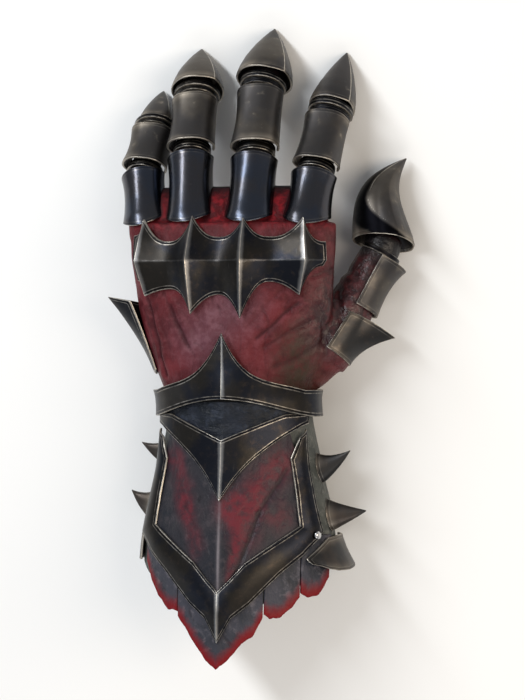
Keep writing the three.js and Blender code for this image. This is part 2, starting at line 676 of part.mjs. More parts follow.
const chevronColumns = columnsThrough(chevronXs, CHEVRON_TOP);
add("chevron_plate", topPlate(chevronColumns, chevronLower, chevronUpper, LAYER_2, STEEL_WALL, 3), STEEL);

// Dark leather lens that shows between the band and the chevron
const gussetColumns = columnsThrough(bothSides([0.95 * CHEVRON_REACH]), WRIST);
const gussetLower = mirroredEdge([
  [0, CHEVRON_TOP - 1.47 * CHEVRON_NOTCH],
  [CHEVRON_REACH, CHEVRON_TOP - 0.13 * CHEVRON_NOTCH],
]);
const gussetUpper = () => WRIST - GAP;
const gusset = topPlate(gussetColumns, gussetLower, gussetUpper, LAYER_1, LEATHER_WALL, 3);
add("wrist_gusset", gusset, NAVY_LEATHER);

// Frame: two arms joined by a V. Each row is an outer and an inner point of its right half, as shares of
// its reach across and as places along the forearm.
const FRAME_ROWS = [
  { out: [0, 0.26], inn: [0, 0.75] },
  { out: [0.14, 0.49], inn: [0.12, 0.86] },
  { out: [0.32, 0.62], inn: [0.28, 1.02] },
  { out: [0.61, 0.9], inn: [0.52, 1.18] },
  { out: [0.83, 1.08], inn: [0.7, 1.3] },
  { out: [1, 1.28], inn: [0.79, 1.36] },
  { out: [0.9, 1.66], inn: [0.74, 1.66] },
  { out: [0.84, 1.9], inn: [0.67, 2.0] },
  { out: [0.79, 2.28], inn: [0.74, 2.2] },
];
const framePlan = ([across, along], mirror) => [mirror * across * FRAME_REACH, along * SKIRT_LENGTH];

function forearmFrame() {
  const left = FRAME_ROWS.slice(1).reverse();
  const rows = [...left.map((row) => [row, -1]), ...FRAME_ROWS.map((row) => [row, 1])];
  const plan = rows.map(([row, mirror]) => [framePlan(row.out, mirror), framePlan(row.inn, mirror)]);
  const place = (k, v, side) => {
    const [near, far] = [plan[Math.floor(k)], plan[Math.ceil(k)]];
    const between = (edge, axis) => lerp(near[edge][axis], far[edge][axis], k % 1);
    const point = [0, 1].map((axis) => lerp(between(0, axis), between(1, axis), v));
    const crown = FRAME_CROWN * Math.sin(Math.PI * v);
    return overArm(...point, LAYER_2 + crown - side * STEEL_WALL);
  };
  return wall(steps(0, rows.length - 1, 2 * (rows.length - 1)), [0, 0.25, 0.75, 1], place);
}

add("forearm_frame", forearmFrame(), STEEL);

// Seam under the middle of the frame, where the panel ends and the skirt begins
const seam = (x) => SKIRT_LENGTH * (0.55 + (0.72 * Math.abs(x)) / FRAME_REACH);
const SEAM_GAP = 2;

// Shield panel inside the frame
const PANEL_REACH = 0.8 * FRAME_REACH;
const panelXs = bothSides([0.84 * PANEL_REACH, PANEL_REACH]);
const panelColumns = columnsThrough(panelXs, CUFF_REAR + 0.5 * FOREARM_LENGTH);
const panelLower = (x) => seam(x) + SEAM_GAP;
const panelUpper = mirroredEdge([
  [0, CHEVRON_TOP - 1.6 * CHEVRON_NOTCH],
  [0.84 * PANEL_REACH, CHEVRON_TOP - 0.73 * CHEVRON_NOTCH],
  [PANEL_REACH, CHEVRON_TOP - 1.11 * CHEVRON_DEPTH],
]);
const panel = topPlate(panelColumns, panelLower, panelUpper, LAYER_1, LEATHER_WALL, 5);
add("forearm_panel", panel, SLATE_LEATHER);

// Skirt: ragged leather pieces that hang out from under the frame. Each has the points of its lower edge,
// across as shares of the skirt's reach and along as shares of its length.
const SKIRT_EDGES = {
  skirt_main: [
    [-0.46, 0.5], [-0.354, 0.371], [-0.248, 0.242], [-0.124, 0.081], [-0.018, -0.008],
    [0.088, 0.065], [0.23, 0.25], [0.336, 0.323], [0.434, 0.5],
  ],
  skirt_petal_1: [
    [0.444, 0.532], [0.496, 0.476], [0.602, 0.492], [0.699, 0.581], [0.765, 0.685],
  ],
  skirt_petal_2: [
    [0.775, 0.726], [0.832, 0.685], [0.92, 0.702], [0.965, 0.76], [1, 0.85],
  ],
  skirt_left: [
    [-0.876, 0.984], [-0.796, 0.806], [-0.708, 0.661], [-0.584, 0.548], [-0.471, 0.54],
  ],
};
for (const [name, points] of Object.entries(SKIRT_EDGES)) {
  const edge = points.map(([across, along]) => [across * SKIRT_REACH, along * SKIRT_LENGTH]);
  const columns = columnsThrough(edge.map(([x]) => x), CUFF_REAR);
  const lower = (x) => line(edge, x);
  const upper = (x) => Math.min(seam(x), 1.27 * SKIRT_LENGTH);
  add(name, topPlate(columns, lower, upper, LAYER_1, LEATHER_WALL, 3), SLATE_LEATHER);
}

// Rivet at the right corner of the frame
function frameRivet() {
  const spot = { x: 0.925 * FRAME_REACH, y: 1.27 * SKIRT_LENGTH };
  const foot = overArm(spot.x, spot.y, LAYER_2 + FRAME_CROWN);
  const out = overArm(spot.x, spot.y, LAYER_2 + 10 * FRAME_CROWN).sub(foot).normalize();
  const profile = [
    new THREE.Vector2(0, 0),
    new THREE.Vector2(0.5 * RIVET_DIAMETER, 0),
    new THREE.Vector2(0.5 * RIVET_DIAMETER, 0.4 * RIVET_HEIGHT),
    new THREE.Vector2(0.32 * RIVET_DIAMETER, 0.85 * RIVET_HEIGHT),
    new THREE.Vector2(0, RIVET_HEIGHT),
  ];
  const geometry = new THREE.LatheGeometry(profile, 14);
  geometry.applyQuaternion(new THREE.Quaternion().setFromUnitVectors(new THREE.Vector3(0, 1, 0), out));
  geometry.translate(...foot.addScaledVector(out, 2 * GAP).toArray());
  return geometry;
}

add("frame_rivet", frameRivet(), SILVER);

// Thorns on the sides of the cuff. Each has its side, its place along the forearm, its height round the
// side, its length and width as shares, and how far it is swept to the hand.
const THORNS = [
  { name: "cuff_thorn_1", side: 1, at: 0.58, angle: 88, size: 1.0, stout: 0.43, sweep: 0.5 },
  { name: "cuff_thorn_2", side: 1, at: 0.29, angle: 88, size: 1.08, stout: 0.43, sweep: 0.12 },
  { name: "cuff_thorn_3", side: -1, at: 0.67, angle: 92, size: 0.7, stout: 0.45, sweep: 0.4 },
  { name: "cuff_thorn_4", side: -1, at: 0.34, angle: 92, size: 0.72, stout: 0.57, sweep: 0.55 },
];
const THORN_RINGS = [
  { share: 0, wide: 0.1 },
  { share: 0, wide: 0.55 },
  { share: 0, wide: 1 },
  { share: 0.3, wide: 0.68 },
  { share: 0.65, wide: 0.36 },
  { share: 1, wide: 0.035 },
];

function cuffThorn({ side, at, angle, size, stout, sweep }) {
  const y = CUFF_REAR + at * FOREARM_LENGTH;
  const length = size * THORN_LENGTH;
  const round = steps(0, 2 * Math.PI, 10).slice(0, -1);
  const rings = THORN_RINGS.map(({ share, wide }) => {
    const radius = stout * length * wide;
    return round.map((turn) => {
      const tilt = (0.75 * radius * Math.cos(turn)) / (0.5 * CUFF_HEIGHT);
      const along = y + radius * Math.sin(turn) + sweep * length * share ** 1.6;
      const point = armPoint(side * (radians(angle) + tilt), along, GAP);
      point.x += side * share * length;
      return point;
    });
  });
  return loft(rings);
}

for (const thorn of THORNS) add(thorn.name, cuffThorn(thorn), STEEL);

// Plates at the lower corners of the cuff, flared out to the rear. Each row has the angle of a column round
// the side, and where the plate starts and ends there as shares of the skirt's length.
const FLARES = [
  {
    name: "side_flare_right",
    side: 1,
    lift: LAYER_2,
    flare: FLARE_REACH,
    rows: [
      [50, 1, 1.05],
      [56, 0.98, 1.11],
      [62, 0.95, 1.17],
      [70, 0.93, 1.24],
      [84, 0.93, 1.26],
      [100, 0.95, 1.26],
      [116, 1, 1.26],
    ],
  },
  {
    name: "side_flare_left",
    side: -1,
    lift: LAYER_1,
    flare: 0,
    rows: [[72, 1, 1.3], [85, 1, 1.3], [98, 1, 1.3], [112, 1, 1.3]],
  },
];

function sideFlare({ side, lift, flare, rows }) {
  const place = (k, v, skinSide) => {
    const [angle, from, to] = rows[k];
    const reach = lift + flare * (1 - v) ** 1.5 - skinSide * STEEL_WALL;
    return armPoint(side * radians(angle), lerp(from, to, v) * SKIRT_LENGTH, reach);
  };
  return wall(rows.map((_, k) => k), steps(0, 1, 3), place);
}

for (const flare of FLARES) add(flare.name, sideFlare(flare), STEEL);

// The origin goes under the middle of the gauntlet
const box = new THREE.Box3().setFromObject(gauntlet);
const middle = box.getCenter(new THREE.Vector3());
gauntlet.position.set(-middle.x, -middle.y, -box.min.z);

export default gauntlet;
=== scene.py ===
import math

import bpy
import numpy as np
from mathutils import Matrix, Vector


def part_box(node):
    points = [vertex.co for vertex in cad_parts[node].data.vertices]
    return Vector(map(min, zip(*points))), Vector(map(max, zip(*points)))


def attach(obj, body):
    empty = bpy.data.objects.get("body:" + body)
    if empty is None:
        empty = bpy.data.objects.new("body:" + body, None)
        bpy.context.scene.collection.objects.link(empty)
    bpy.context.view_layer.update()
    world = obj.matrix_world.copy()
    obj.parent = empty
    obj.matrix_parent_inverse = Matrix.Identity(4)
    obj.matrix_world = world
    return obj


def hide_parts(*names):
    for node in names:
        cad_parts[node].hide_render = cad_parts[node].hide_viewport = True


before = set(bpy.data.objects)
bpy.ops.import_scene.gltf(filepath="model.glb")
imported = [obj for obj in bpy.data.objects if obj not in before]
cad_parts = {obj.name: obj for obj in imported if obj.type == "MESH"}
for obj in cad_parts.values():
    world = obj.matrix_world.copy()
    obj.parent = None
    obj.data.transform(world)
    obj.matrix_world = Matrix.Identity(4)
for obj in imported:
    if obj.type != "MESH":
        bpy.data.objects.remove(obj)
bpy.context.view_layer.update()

MM = 0.001
BODY = "root"

# Driving sizes in millimetres, the same as the part's
SKIRT_LENGTH = 62
FOREARM_LENGTH = 96
HAND_LENGTH = 104
CUFF_WIDTH = 117.5
CUFF_HEIGHT = 88
WRIST_WIDTH = 90
WRIST_HEIGHT = 66
PALM_WIDTH = 124
PALM_THICKNESS = 42
KNUCKLE_HEIGHT = 55
FINGER_LENGTH = 134
FINGER_WIDTH = 25.2
THUMB_LENGTH = 146
THUMB_WIDTH = 25
LEATHER_WALL = 2
STEEL_WALL = 1.5
RING_WALL = 1.2
GAP = 0.35
BAND_WIDTH = 16
BAND_SPIKE = 34
FRAME_REACH = 52.5
SKIRT_REACH = 56.5
FRAME_CROWN = 1.1
CHEVRON_NOTCH = 15
CHEVRON_DEPTH = 36
KNUCKLE_RIDGE = 8
KNUCKLE_PLATE_LENGTH = 58
KNUCKLE_PLATE_OVERHANG = 4.6
BASE_PLATE_TUCK = 8
THORN_LENGTH = 21
FIN_REACH = 17
THUMB_THORN = 17
FLARE_REACH = 6
RIVET_DIAMETER = 5
RIVET_HEIGHT = 1.8

CUFF_REAR = SKIRT_LENGTH
WRIST = CUFF_REAR + FOREARM_LENGTH
KNUCKLES = WRIST + HAND_LENGTH
FOREARM_MID = 0.49 * CUFF_HEIGHT
WRIST_MID = 0.7 * WRIST_HEIGHT
SEATED_LIFT = GAP + STEEL_WALL
LAME_LIFT = GAP + RING_WALL
PLATE_LIFT = LAME_LIFT + GAP + STEEL_WALL
TIP_RING_LIFT = 2
LAYER_1 = 1.5 * GAP + LEATHER_WALL
LAYER_2 = LAYER_1 + GAP + STEEL_WALL
BAND_LIFT = LAYER_2 + 2 * GAP + STEEL_WALL

# The part's own frame starts at the tip of the skirt, on the line of the forearm's ridge
cuff_low, cuff_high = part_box("forearm_cuff")
SHIFT = np.array([(cuff_low[0] + cuff_high[0]) / 2, cuff_high[1] - WRIST * MM, 0])

# Sections of the arm: place along it with the cuff from 1 to 2 and the hand from 2 to 3, half width, height
# of the middle, reach up, reach down, sharpness of the ridge, shift to the thumb side
ARM_COLUMNS = ["y", "wide", "mid", "up", "down", "roof", "shift"]
ARM_ROWS = np.array([
    [0, 0.54 * CUFF_WIDTH, FOREARM_MID, 0.535 * CUFF_HEIGHT, 0.53 * CUFF_HEIGHT, 0.27, 0],
    [1, 0.505 * CUFF_WIDTH, FOREARM_MID, 0.51 * CUFF_HEIGHT, 0.52 * CUFF_HEIGHT, 0.27, 0],
    [1.3, 0.475 * CUFF_WIDTH, FOREARM_MID, 0.48 * CUFF_HEIGHT, 0.52 * CUFF_HEIGHT, 0.27, 0],
    [1.62, 0.415 * CUFF_WIDTH, FOREARM_MID, 0.43 * CUFF_HEIGHT, 0.5 * CUFF_HEIGHT, 0.26, 0],
    [2, 0.49 * WRIST_WIDTH, WRIST_MID, 0.49 * WRIST_HEIGHT, 0.5 * WRIST_HEIGHT, 0.2, 0],
    [2.22, 0.415 * PALM_WIDTH, 0.89 * KNUCKLE_HEIGHT, 0.66 * PALM_THICKNESS, 0.6 * PALM_THICKNESS, 0.08, 0],
    [2.5, 0.475 * PALM_WIDTH, 0.94 * KNUCKLE_HEIGHT, 0.58 * PALM_THICKNESS, 0.52 * PALM_THICKNESS, 0, 0],
    [2.78, 0.505 * PALM_WIDTH, 0.98 * KNUCKLE_HEIGHT, 0.5 * PALM_THICKNESS, 0.48 * PALM_THICKNESS, 0, -1],
    [3, 0.515 * PALM_WIDTH, KNUCKLE_HEIGHT, 0.37 * PALM_THICKNESS, 0.42 * PALM_THICKNESS, 0, -1],
])
ARM_ROWS[:, 0] = np.interp(ARM_ROWS[:, 0], [0, 1, 2, 3], [0, CUFF_REAR, WRIST, KNUCKLES])

# Root across as a share of PALM_WIDTH and its rise, girth as a share of FINGER_WIDTH, bones as shares of
# FINGER_LENGTH and the claw's width over the finger's. Droop and lean are in degrees, one a bone
FINGERS = [
    dict(name="pinky", root=-0.45, rise=-5, girth=0.9, bones=[0.248, 0.246, 0.234], claw=1.02),
    dict(name="ring", root=-0.212, rise=0.5, girth=0.98, bones=[0.324, 0.313, 0.283], claw=1.34),
    dict(name="middle", root=0.085, rise=2.5, girth=1, bones=[0.3075, 0.359, 0.331], claw=1.4),
    dict(name="index", root=0.357, rise=-1.5, girth=0.95, bones=[0.23, 0.31, 0.343], claw=1.2),
]
FINGER_DROOP = {
    "pinky": [22, 31, 35],
    "ring": [19.5, 28, 32.5],
    "middle": [19, 26, 29.5],
    "index": [21, 28, 29],
}
FINGER_LEAN = {
    "pinky": [-11, 4, 0],
    "ring": [-6, -3.5, -5],
    "middle": [-0.5, -1.5, 3],
    "index": [5, 6.5, 8],
}
SLEEVE_TAPER = [1, 0.82, 0.73, 0.64]
SLEEVE_DOME = 4
SLEEVE_TIP = 0.55
CLAW_TILT_ANGLE = math.radians(52)
CLAW_CREASE_ANGLE = math.radians(51.4)


# Noise

def hashed(ix, iy, iz, seed):
    mixed = (ix * 374761393 + iy * 668265263 + iz * 974634777 + seed * 144665) & 0xFFFFFFFF
    mixed = ((mixed ^ (mixed >> 13)) * 1274126177) & 0xFFFFFFFF
    return ((mixed ^ (mixed >> 16)) & 0xFFFF) / 32767.5 - 1


def noise(points, size, seed=0):
    """Smooth noise from -1 to 1 at points, with features of that size."""
    scaled = np.asarray(points) / size
    cell = np.floor(scaled).astype(np.int64)
    part = scaled - cell
    part = part * part * (3 - 2 * part)
    total = 0
    for corner in np.ndindex(2, 2, 2):
        weight = 1
        for axis in range(3):
            weight = weight * (part[..., axis] if corner[axis] else 1 - part[..., axis])
        total = total + weight * hashed(*(cell[..., axis] + corner[axis] for axis in range(3)), seed)
    return total


def layered(points, size, seed, layers=3):
    return sum(noise(points, size / 2**i, seed + i) / 2**i for i in range(layers))


# Carriers: the arm and the digits

def column(key, y):
    """Smooth curve through one column of the arm's sections."""
    places = ARM_ROWS[:, 0]
    values = ARM_ROWS[:, ARM_COLUMNS.index(key)]
    last = len(places) - 1
    i = np.clip(np.searchsorted(places, y, side="left") - 1, 0, last - 1)
    before, after = np.maximum(i - 1, 0), np.minimum(i + 2, last)
    span = places[i + 1] - places[i]
    t = np.clip((y - places[i]) / span, 0, 1)
    leaving = span * (values[i + 1] - values[before]) / (places[i + 1] - places[before])
    arriving = span * (values[after] - values[i]) / (places[after] - places[i])
    ease = t * t * (3 - 2 * t)
    straight = values[i] + (values[i + 1] - values[i]) * ease
    return straight + leaving * t * (1 - t) ** 2 - arriving * t * t * (1 - t)


def arm_point(angle, y, lift):
    angle, y, lift = np.broadcast_arrays(*(np.asarray(value, float) for value in (angle, y, lift)))
    across, up = np.sin(angle), np.cos(angle)
    roof = column("roof", y)
    x = column("shift", y) + (column("wide", y) + lift) * across
    mid = column("mid", y)
    above = mid + (column("up", y) + lift) * ((1 - roof) * up + roof * (1 - np.abs(across)))
    below = np.maximum(mid - (column("down", y) + lift) * np.maximum(-up, 0) ** 0.85, -lift)
    return np.stack([x, y, np.where(up >= 0, above, below)], -1)


def over_arm(x, y, lift):
    across = (x - column("shift", y)) / column("wide", y)
    return arm_point(np.arcsin(np.clip(across, -1, 1)), y, lift)


def unit(vector):
    return vector / np.linalg.norm(vector)


class Digit:
    """A chain of joints with a frame for each bone."""

    def __init__(self, start, bones, droop, lean, roll, half_width, taper, claw, hook, sleeve_end):
        self.joints, self.frames = [np.array(start, float)], []
        self.half_width, self.taper, self.sleeve_end = half_width, taper, sleeve_end
        self.claw, self.hook = claw, hook
        for length, down, aside, turn in zip(bones, np.radians(droop), np.radians(lean), np.radians(roll)):
            flat = math.cos(down)
            ahead = np.array([math.sin(aside) * flat, math.cos(aside) * flat, -math.sin(down)])
            side = unit(np.cross(ahead, [math.sin(turn), 0, math.cos(turn)]))
            self.frames.append((ahead, side, np.cross(side, ahead), length))
            self.joints.append(self.joints[-1] + ahead * length)

    def radius(self, bone, share):
        return self.half_width * (self.taper[bone] + (self.taper[bone + 1] - self.taper[bone]) * share)

    def point(self, bone, share, angle, reach, aside=0):
        return self.section(bone, share, reach * np.sin(angle) + aside, reach * np.cos(angle))

    def section(self, bone, share, across, up):
        """Point of a section square to the bone."""
        ahead, side, normal, length = self.frames[bone]
        share, across, up = np.broadcast_arrays(share, across, up)
        steps = (share * length, ahead), (across, side), (up, normal)
        return self.joints[bone] + sum([np.multiply.outer(amount, axis) for amount, axis in steps])


def make_finger(row):
    start = [row["root"] * PALM_WIDTH, KNUCKLES + LEATHER_WALL + GAP, KNUCKLE_HEIGHT + row["rise"]]
    bones = [share * FINGER_LENGTH for share in row["bones"]]
    half = 0.5 * FINGER_WIDTH * row["girth"]
    droop, lean = FINGER_DROOP[row["name"]], FINGER_LEAN[row["name"]]
    return Digit(start, bones, droop, lean, [0] * 3, half, SLEEVE_TAPER, row["claw"], 0, 0.36)


fingers = {row["name"]: make_finger(row) for row in FINGERS}
thumb = Digit(
    start=[0.36 * PALM_WIDTH, WRIST + 0.2 * HAND_LENGTH, 0.72 * KNUCKLE_HEIGHT],
    bones=[0.29 * THUMB_LENGTH, 0.27 * THUMB_LENGTH, 0.4 * THUMB_LENGTH],
    droop=[14, 13, 14],
    lean=[31, 26, 12],
    roll=[38, 38, 34],
    half_width=0.5 * THUMB_WIDTH,
    taper=[1.45, 1.16, 0.9, 0.76],
    claw=1.52,
    hook=0.07 * THUMB_LENGTH,
    sleeve_end=0.12,
)


# Meshes

def make_object(name, points, faces, material, node, attributes, sharp=42):
    mesh = bpy.data.meshes.new(name)
    mesh.from_pydata((points * MM + SHIFT).tolist(), [], [tuple(face) for face in faces])
    for key, values in attributes.items():
        layer = mesh.attributes.new(key, "FLOAT", "POINT")
        layer.data.foreach_set("value", np.ravel(values).astype(np.float32))
    mesh.shade_smooth()
    mesh.set_sharp_from_angle(angle=math.radians(sharp))
    mesh.materials.append(material)
    obj = bpy.data.objects.new(name, mesh)
    bpy.context.scene.collection.objects.link(obj)
    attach(obj, BODY)
    nodes = [node] if isinstance(node, str) else node
    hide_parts(*nodes)
    return obj


def grid_faces(at, columns, rows, inside=False):
    i, j = np.meshgrid(np.arange(columns), np.arange(rows), indexing="ij")
    corners = [at(i, j), at(i + 1, j), at(i + 1, j + 1), at(i, j + 1)]
    return np.stack([corner.ravel() for corner in (corners[::-1] if inside else corners)], -1)


def outward(points, faces):
    """The faces, turned round if they point into the solid."""
    a, b, c, d = (points[faces[:, k]] for k in range(4))
    volume = np.einsum("ij,ij->", a, np.cross(b, c)) + np.einsum("ij,ij->", a, np.cross(c, d))
    return faces if volume > 0 else faces[:, ::-1]


RIM_STEPS = np.array([0.12, 0.3, 0.6])
RIM = 0.6
FAR = 99
CROSS_CREASE_AWAY = 2.2
WARP_SIZE = 16


def with_rims(stops, length):
    """The stops, with a few more close to both ends for a rounded rim."""
    near = (stops[-1] - stops[0]) * RIM_STEPS / length
    merged = np.concatenate([stops, stops[0] + near, stops[-1] - near])
    return np.unique(np.round(merged, 9))


def path_length(points):
    return np.linalg.norm(np.diff(points, axis=0), axis=1).sum()


def arc(points, axis):
    """Distance run along an axis of a grid of points."""
    run = np.linalg.norm(np.diff(points, axis=axis), axis=-1)
    start = np.zeros_like(np.take(run, [0], axis))
    return np.concatenate([start, np.cumsum(run, axis)], axis)


def shell(name, across, rows, place, thick, material, node, looped=False, creases=(), cross_creases=(),
          warp=0.12, extra=None, sharp=42, rim=RIM):
    """Closed plate from place(u, v, depth), depth in millimetres under its outer skin, with rounded rims.

    u runs over the columns in across, and v from 0 to 1 over that many rows.
    The attributes edge and crease hold the distance in millimetres from the rim and from the nearest crease,
    where a cross crease counts as further away, since it is worn less."""
    across, along = np.asarray(across, float), np.linspace(0, 1, rows)
    middle_u, middle_v = across[len(across) // 2], along[len(along) // 2]
    long_u = path_length(place(across, np.full_like(across, middle_v), 0))
    long_v = path_length(place(np.full_like(along, middle_u), along, 0))
    if not looped:
        across = with_rims(across, long_u)
    along = with_rims(along, long_v)
    u, v = np.meshgrid(across, along)
    flat = place(u, v, 0 * u)
    run_u, run_v = arc(flat, 1), arc(flat, 0)
    edge = np.minimum(run_v, run_v[-1:] - run_v)
    if not looped:
        edge = np.minimum(edge, np.minimum(run_u, run_u[:, -1:] - run_u))
    crease = np.full_like(edge, FAR)
    for at in creases:
        k = np.argmin(np.abs(across - at))
        crease = np.minimum(crease, np.abs(run_u - run_u[:, [k]]))
    for at in cross_creases:
        k = np.argmin(np.abs(along - at))
        crease = np.minimum(crease, np.abs(run_v - run_v[[k]]) + CROSS_CREASE_AWAY)
    inset = np.clip(rim - edge, 0, rim)
    rounding = (rim - np.sqrt(rim * rim - inset * inset)) * min(1, thick / (2.2 * rim))
    bend = -warp * layered(flat, WARP_SIZE, 7)
    outer, inner = place(u, v, rounding + bend), place(u, v, thick - rounding + bend)
    rows, width = u.shape
    points = np.concatenate([outer.reshape(-1, 3), inner.reshape(-1, 3)])
    count = rows * width
    columns = width if looped else width - 1
    at = lambda side: (lambda i, j: side * count + j * width + i % width)
    faces = [grid_faces(at(0), columns, rows - 1), grid_faces(at(1), columns, rows - 1, True)]
    edge_row = lambda j: (lambda i, side: side * count + j * width + i % width)
    edge_column = lambda i: (lambda j, side: side * count + j * width + i)
    faces += [grid_faces(edge_row(0), columns, 1, True), grid_faces(edge_row(rows - 1), columns, 1)]
    if not looped:
        faces += [grid_faces(edge_column(0), rows - 1, 1)]
        faces += [grid_faces(edge_column(width - 1), rows - 1, 1, True)]
    attributes = {"edge": np.tile(edge.ravel(), 2), "crease": np.tile(crease.ravel(), 2)}
    for key, values in (extra(u, v, flat) if extra else {}).items():
        attributes[key] = np.tile(values.ravel(), 2)
    faces = outward(points, np.concatenate(faces))
    return make_object(name, points, faces, material, node, attributes, sharp)


def capped(rings):
    """Points and faces of a closed solid through rings, with a small ring for a tip at each end."""
    rings = np.asarray(rings)
    count, width = len(rings), rings.shape[1]
    points = rings.reshape(-1, 3)
    faces = grid_faces(lambda i, j: j * width + i % width, width, count - 1)
    ends = np.arange(width)
    caps = [ends[::-1], (count - 1) * width + ends]
    flipped = outward(points, faces)
    if flipped is not faces:
        caps = [cap[::-1] for cap in caps]
    return points, [tuple(face) for face in flipped] + [tuple(cap) for cap in caps]


# Materials

class Nodes:
    """Short names for the nodes of one material."""

    def __init__(self, name):
        self.material = bpy.data.materials.new(name)
        self.material.use_nodes = True
        self.tree = self.material.node_tree
        self.tree.nodes.clear()
        output = self.tree.nodes.new("ShaderNodeOutputMaterial")
        self.shader = self.tree.nodes.new("ShaderNodeBsdfPrincipled")
        self.tree.links.new(self.shader.outputs[0], output.inputs[0])
        self.where = self.tree.nodes.new("ShaderNodeTexCoord").outputs["Object"]

    def put(self, socket, value):
        if isinstance(value, bpy.types.NodeSocket):
            self.tree.links.new(value, socket)
        else:
            socket.default_value = value

    def add(self, kind, inputs, output=0, **settings):
        """A new node's output, with its inputs linked or set."""
        node = self.tree.nodes.new("ShaderNode" + kind)
        for key, value in settings.items():
            setattr(node, key, value)
        for key, value in inputs.items():
            self.put(node.inputs[key], value)
        return node.outputs[output]

    def math(self, operation, a, b, c=0.0):
        return self.add("Math", {0: a, 1: b, 2: c}, operation=operation)

    def times(self, a, b):
        return self.math("MULTIPLY", a, b)

    def line(self, a, slope, start):
        return self.math("MULTIPLY_ADD", a, slope, start)

    def larger(self, a, b):
        return self.math("MAXIMUM", a, b)

    def rest(self, a):
        """What is left of one."""
        return self.math("SUBTRACT", 1.0, a)

    def attribute(self, name):
        return self.add("Attribute", {}, "Fac", attribute_name=name)

    def stretched(self, scale):
        return self.add("Mapping", {"Vector": self.where, "Scale": scale})

    def noise(self, size, detail, rough=0.55, where=None, distortion=0.0):
        """Noise from 0 to 1 with features of that size in millimetres."""
        inputs = {"Vector": where or self.where, "Scale": 1 / (size * MM)}
        inputs |= {"Detail": detail, "Roughness": rough, "Distortion": distortion}
        return self.add("TexNoise", inputs, "Fac")

    def cells(self, size):
        inputs = {"Vector": self.where, "Scale": 1 / (size * MM)}
        return self.add("TexVoronoi", inputs, "Distance", feature="F1")

    def span(self, value, low, high, to_low=0.0, to_high=1.0):
        """A smooth step of value from low to high."""
        inputs = dict(enumerate((value, low, high, to_low, to_high)))
        return self.add("MapRange", inputs, interpolation_type="SMOOTHSTEP")

    def mix(self, factor, a, b):
        full = [(*color, 1) if isinstance(color, tuple) and len(color) == 3 else color for color in (a, b)]
        return self.add("Mix", {"Factor": factor, 6: full[0], 7: full[1]}, 2, data_type="RGBA")

    def bump(self, height, distance, strength, after=None):
        inputs = {"Height": height, "Distance": distance * MM, "Strength": strength}
        if after is not None:
            inputs["Normal"] = after
        return self.add("Bump", inputs)

    def finish(self, color, rough, metallic=0.0, normal=None, **fixed):
        self.put(self.shader.inputs["Base Color"], color)
        self.put(self.shader.inputs["Roughness"], rough)
        self.put(self.shader.inputs["Metallic"], metallic)
        if normal is not None:
            self.put(self.shader.inputs["Normal"], normal)
        for key, value in fixed.items():
            self.shader.inputs[key.replace("_", " ")].default_value = value
        return self.material


def steel(name, cool, warm, worn=(0.5, 0.46, 0.4), rough=0.36, wear=0.8, patina=0.3, halo=0.0, dust=0.0,
          trim=0.8):
    """Blackened steel: cool and warm patches, bright worn rims and creases, fine scratches.

    halo is how bright the polished band along a crease is, dust how much pale wear lies along the rims and
    trim how deep the engraved line inside the rims is. The attribute shade darkens a surface with painted
    shade."""
    n = Nodes(name)
    broad = n.noise(28, 3)
    fine = n.noise(4, 6, 0.65)
    grain = n.noise(0.9, 5, 0.7)
    scratch = n.noise(2.4, 4, 0.6, n.stretched((1, 0.08, 1)))
    base = n.mix(n.span(broad, 0.42, 0.6), cool, warm)
    base = n.mix(n.times(n.span(fine, 0.5, 0.74), patina), base, (0.07, 0.052, 0.04))
    edge, crease = n.attribute("edge"), n.attribute("crease")
    band = n.rest(n.span(crease, 0.2, n.line(fine, 2.0, 2.2)))
    base = n.mix(n.times(band, halo), base, (0.32, 0.315, 0.31))
    if dust:
        margin = n.rest(n.span(edge, 0.8, 6.0))
        patch = n.times(margin, n.span(broad, 0.4, 0.6))
        dusty = n.times(n.larger(patch, n.span(n.noise(7, 5), 0.6, 0.8)), dust)
        base = n.mix(dusty, base, (0.3, 0.26, 0.21))
    base = n.mix(n.times(n.span(scratch, 0.64, 0.82), 0.25), base, (0.17, 0.165, 0.165))
    groove = n.times(n.span(edge, 0.8, 1.15), n.rest(n.span(edge, 1.5, 1.9)))
    second = n.times(n.span(edge, 1.7, 1.95), n.rest(n.span(edge, 2.1, 2.5)))
    base = n.mix(n.times(groove, trim), base, (0.004, 0.004, 0.005))
    base = n.mix(n.times(second, n.span(fine, 0.35, 0.6, 0.1 * trim, 0.6 * trim)), base, worn)
    # Painted shade: the attribute shade darkens a side to near black.
    base = n.mix(n.attribute("shade"), base, (0.003, 0.003, 0.004))
    ragged = n.times(n.line(fine, 1.3, -0.2), wear)
    rim = n.rest(n.span(edge, n.times(ragged, 0.5), n.times(ragged, 1.3)))
    fold = n.rest(n.span(crease, n.times(ragged, 0.3), ragged))
    bright = n.larger(n.times(rim, 0.8), n.times(fold, 0.9))
    color = n.mix(bright, base, worn)
    gloss = n.line(grain, 0.2, rough - 0.1)
    height = n.line(groove, -0.6 * trim, n.line(fine, 0.3, n.times(grain, 0.08)))
    normal = n.bump(height, 0.3, 0.45, n.bump(n.noise(14, 2), 1.0, 0.22))
    return n.finish(color, gloss, 1.0, normal)


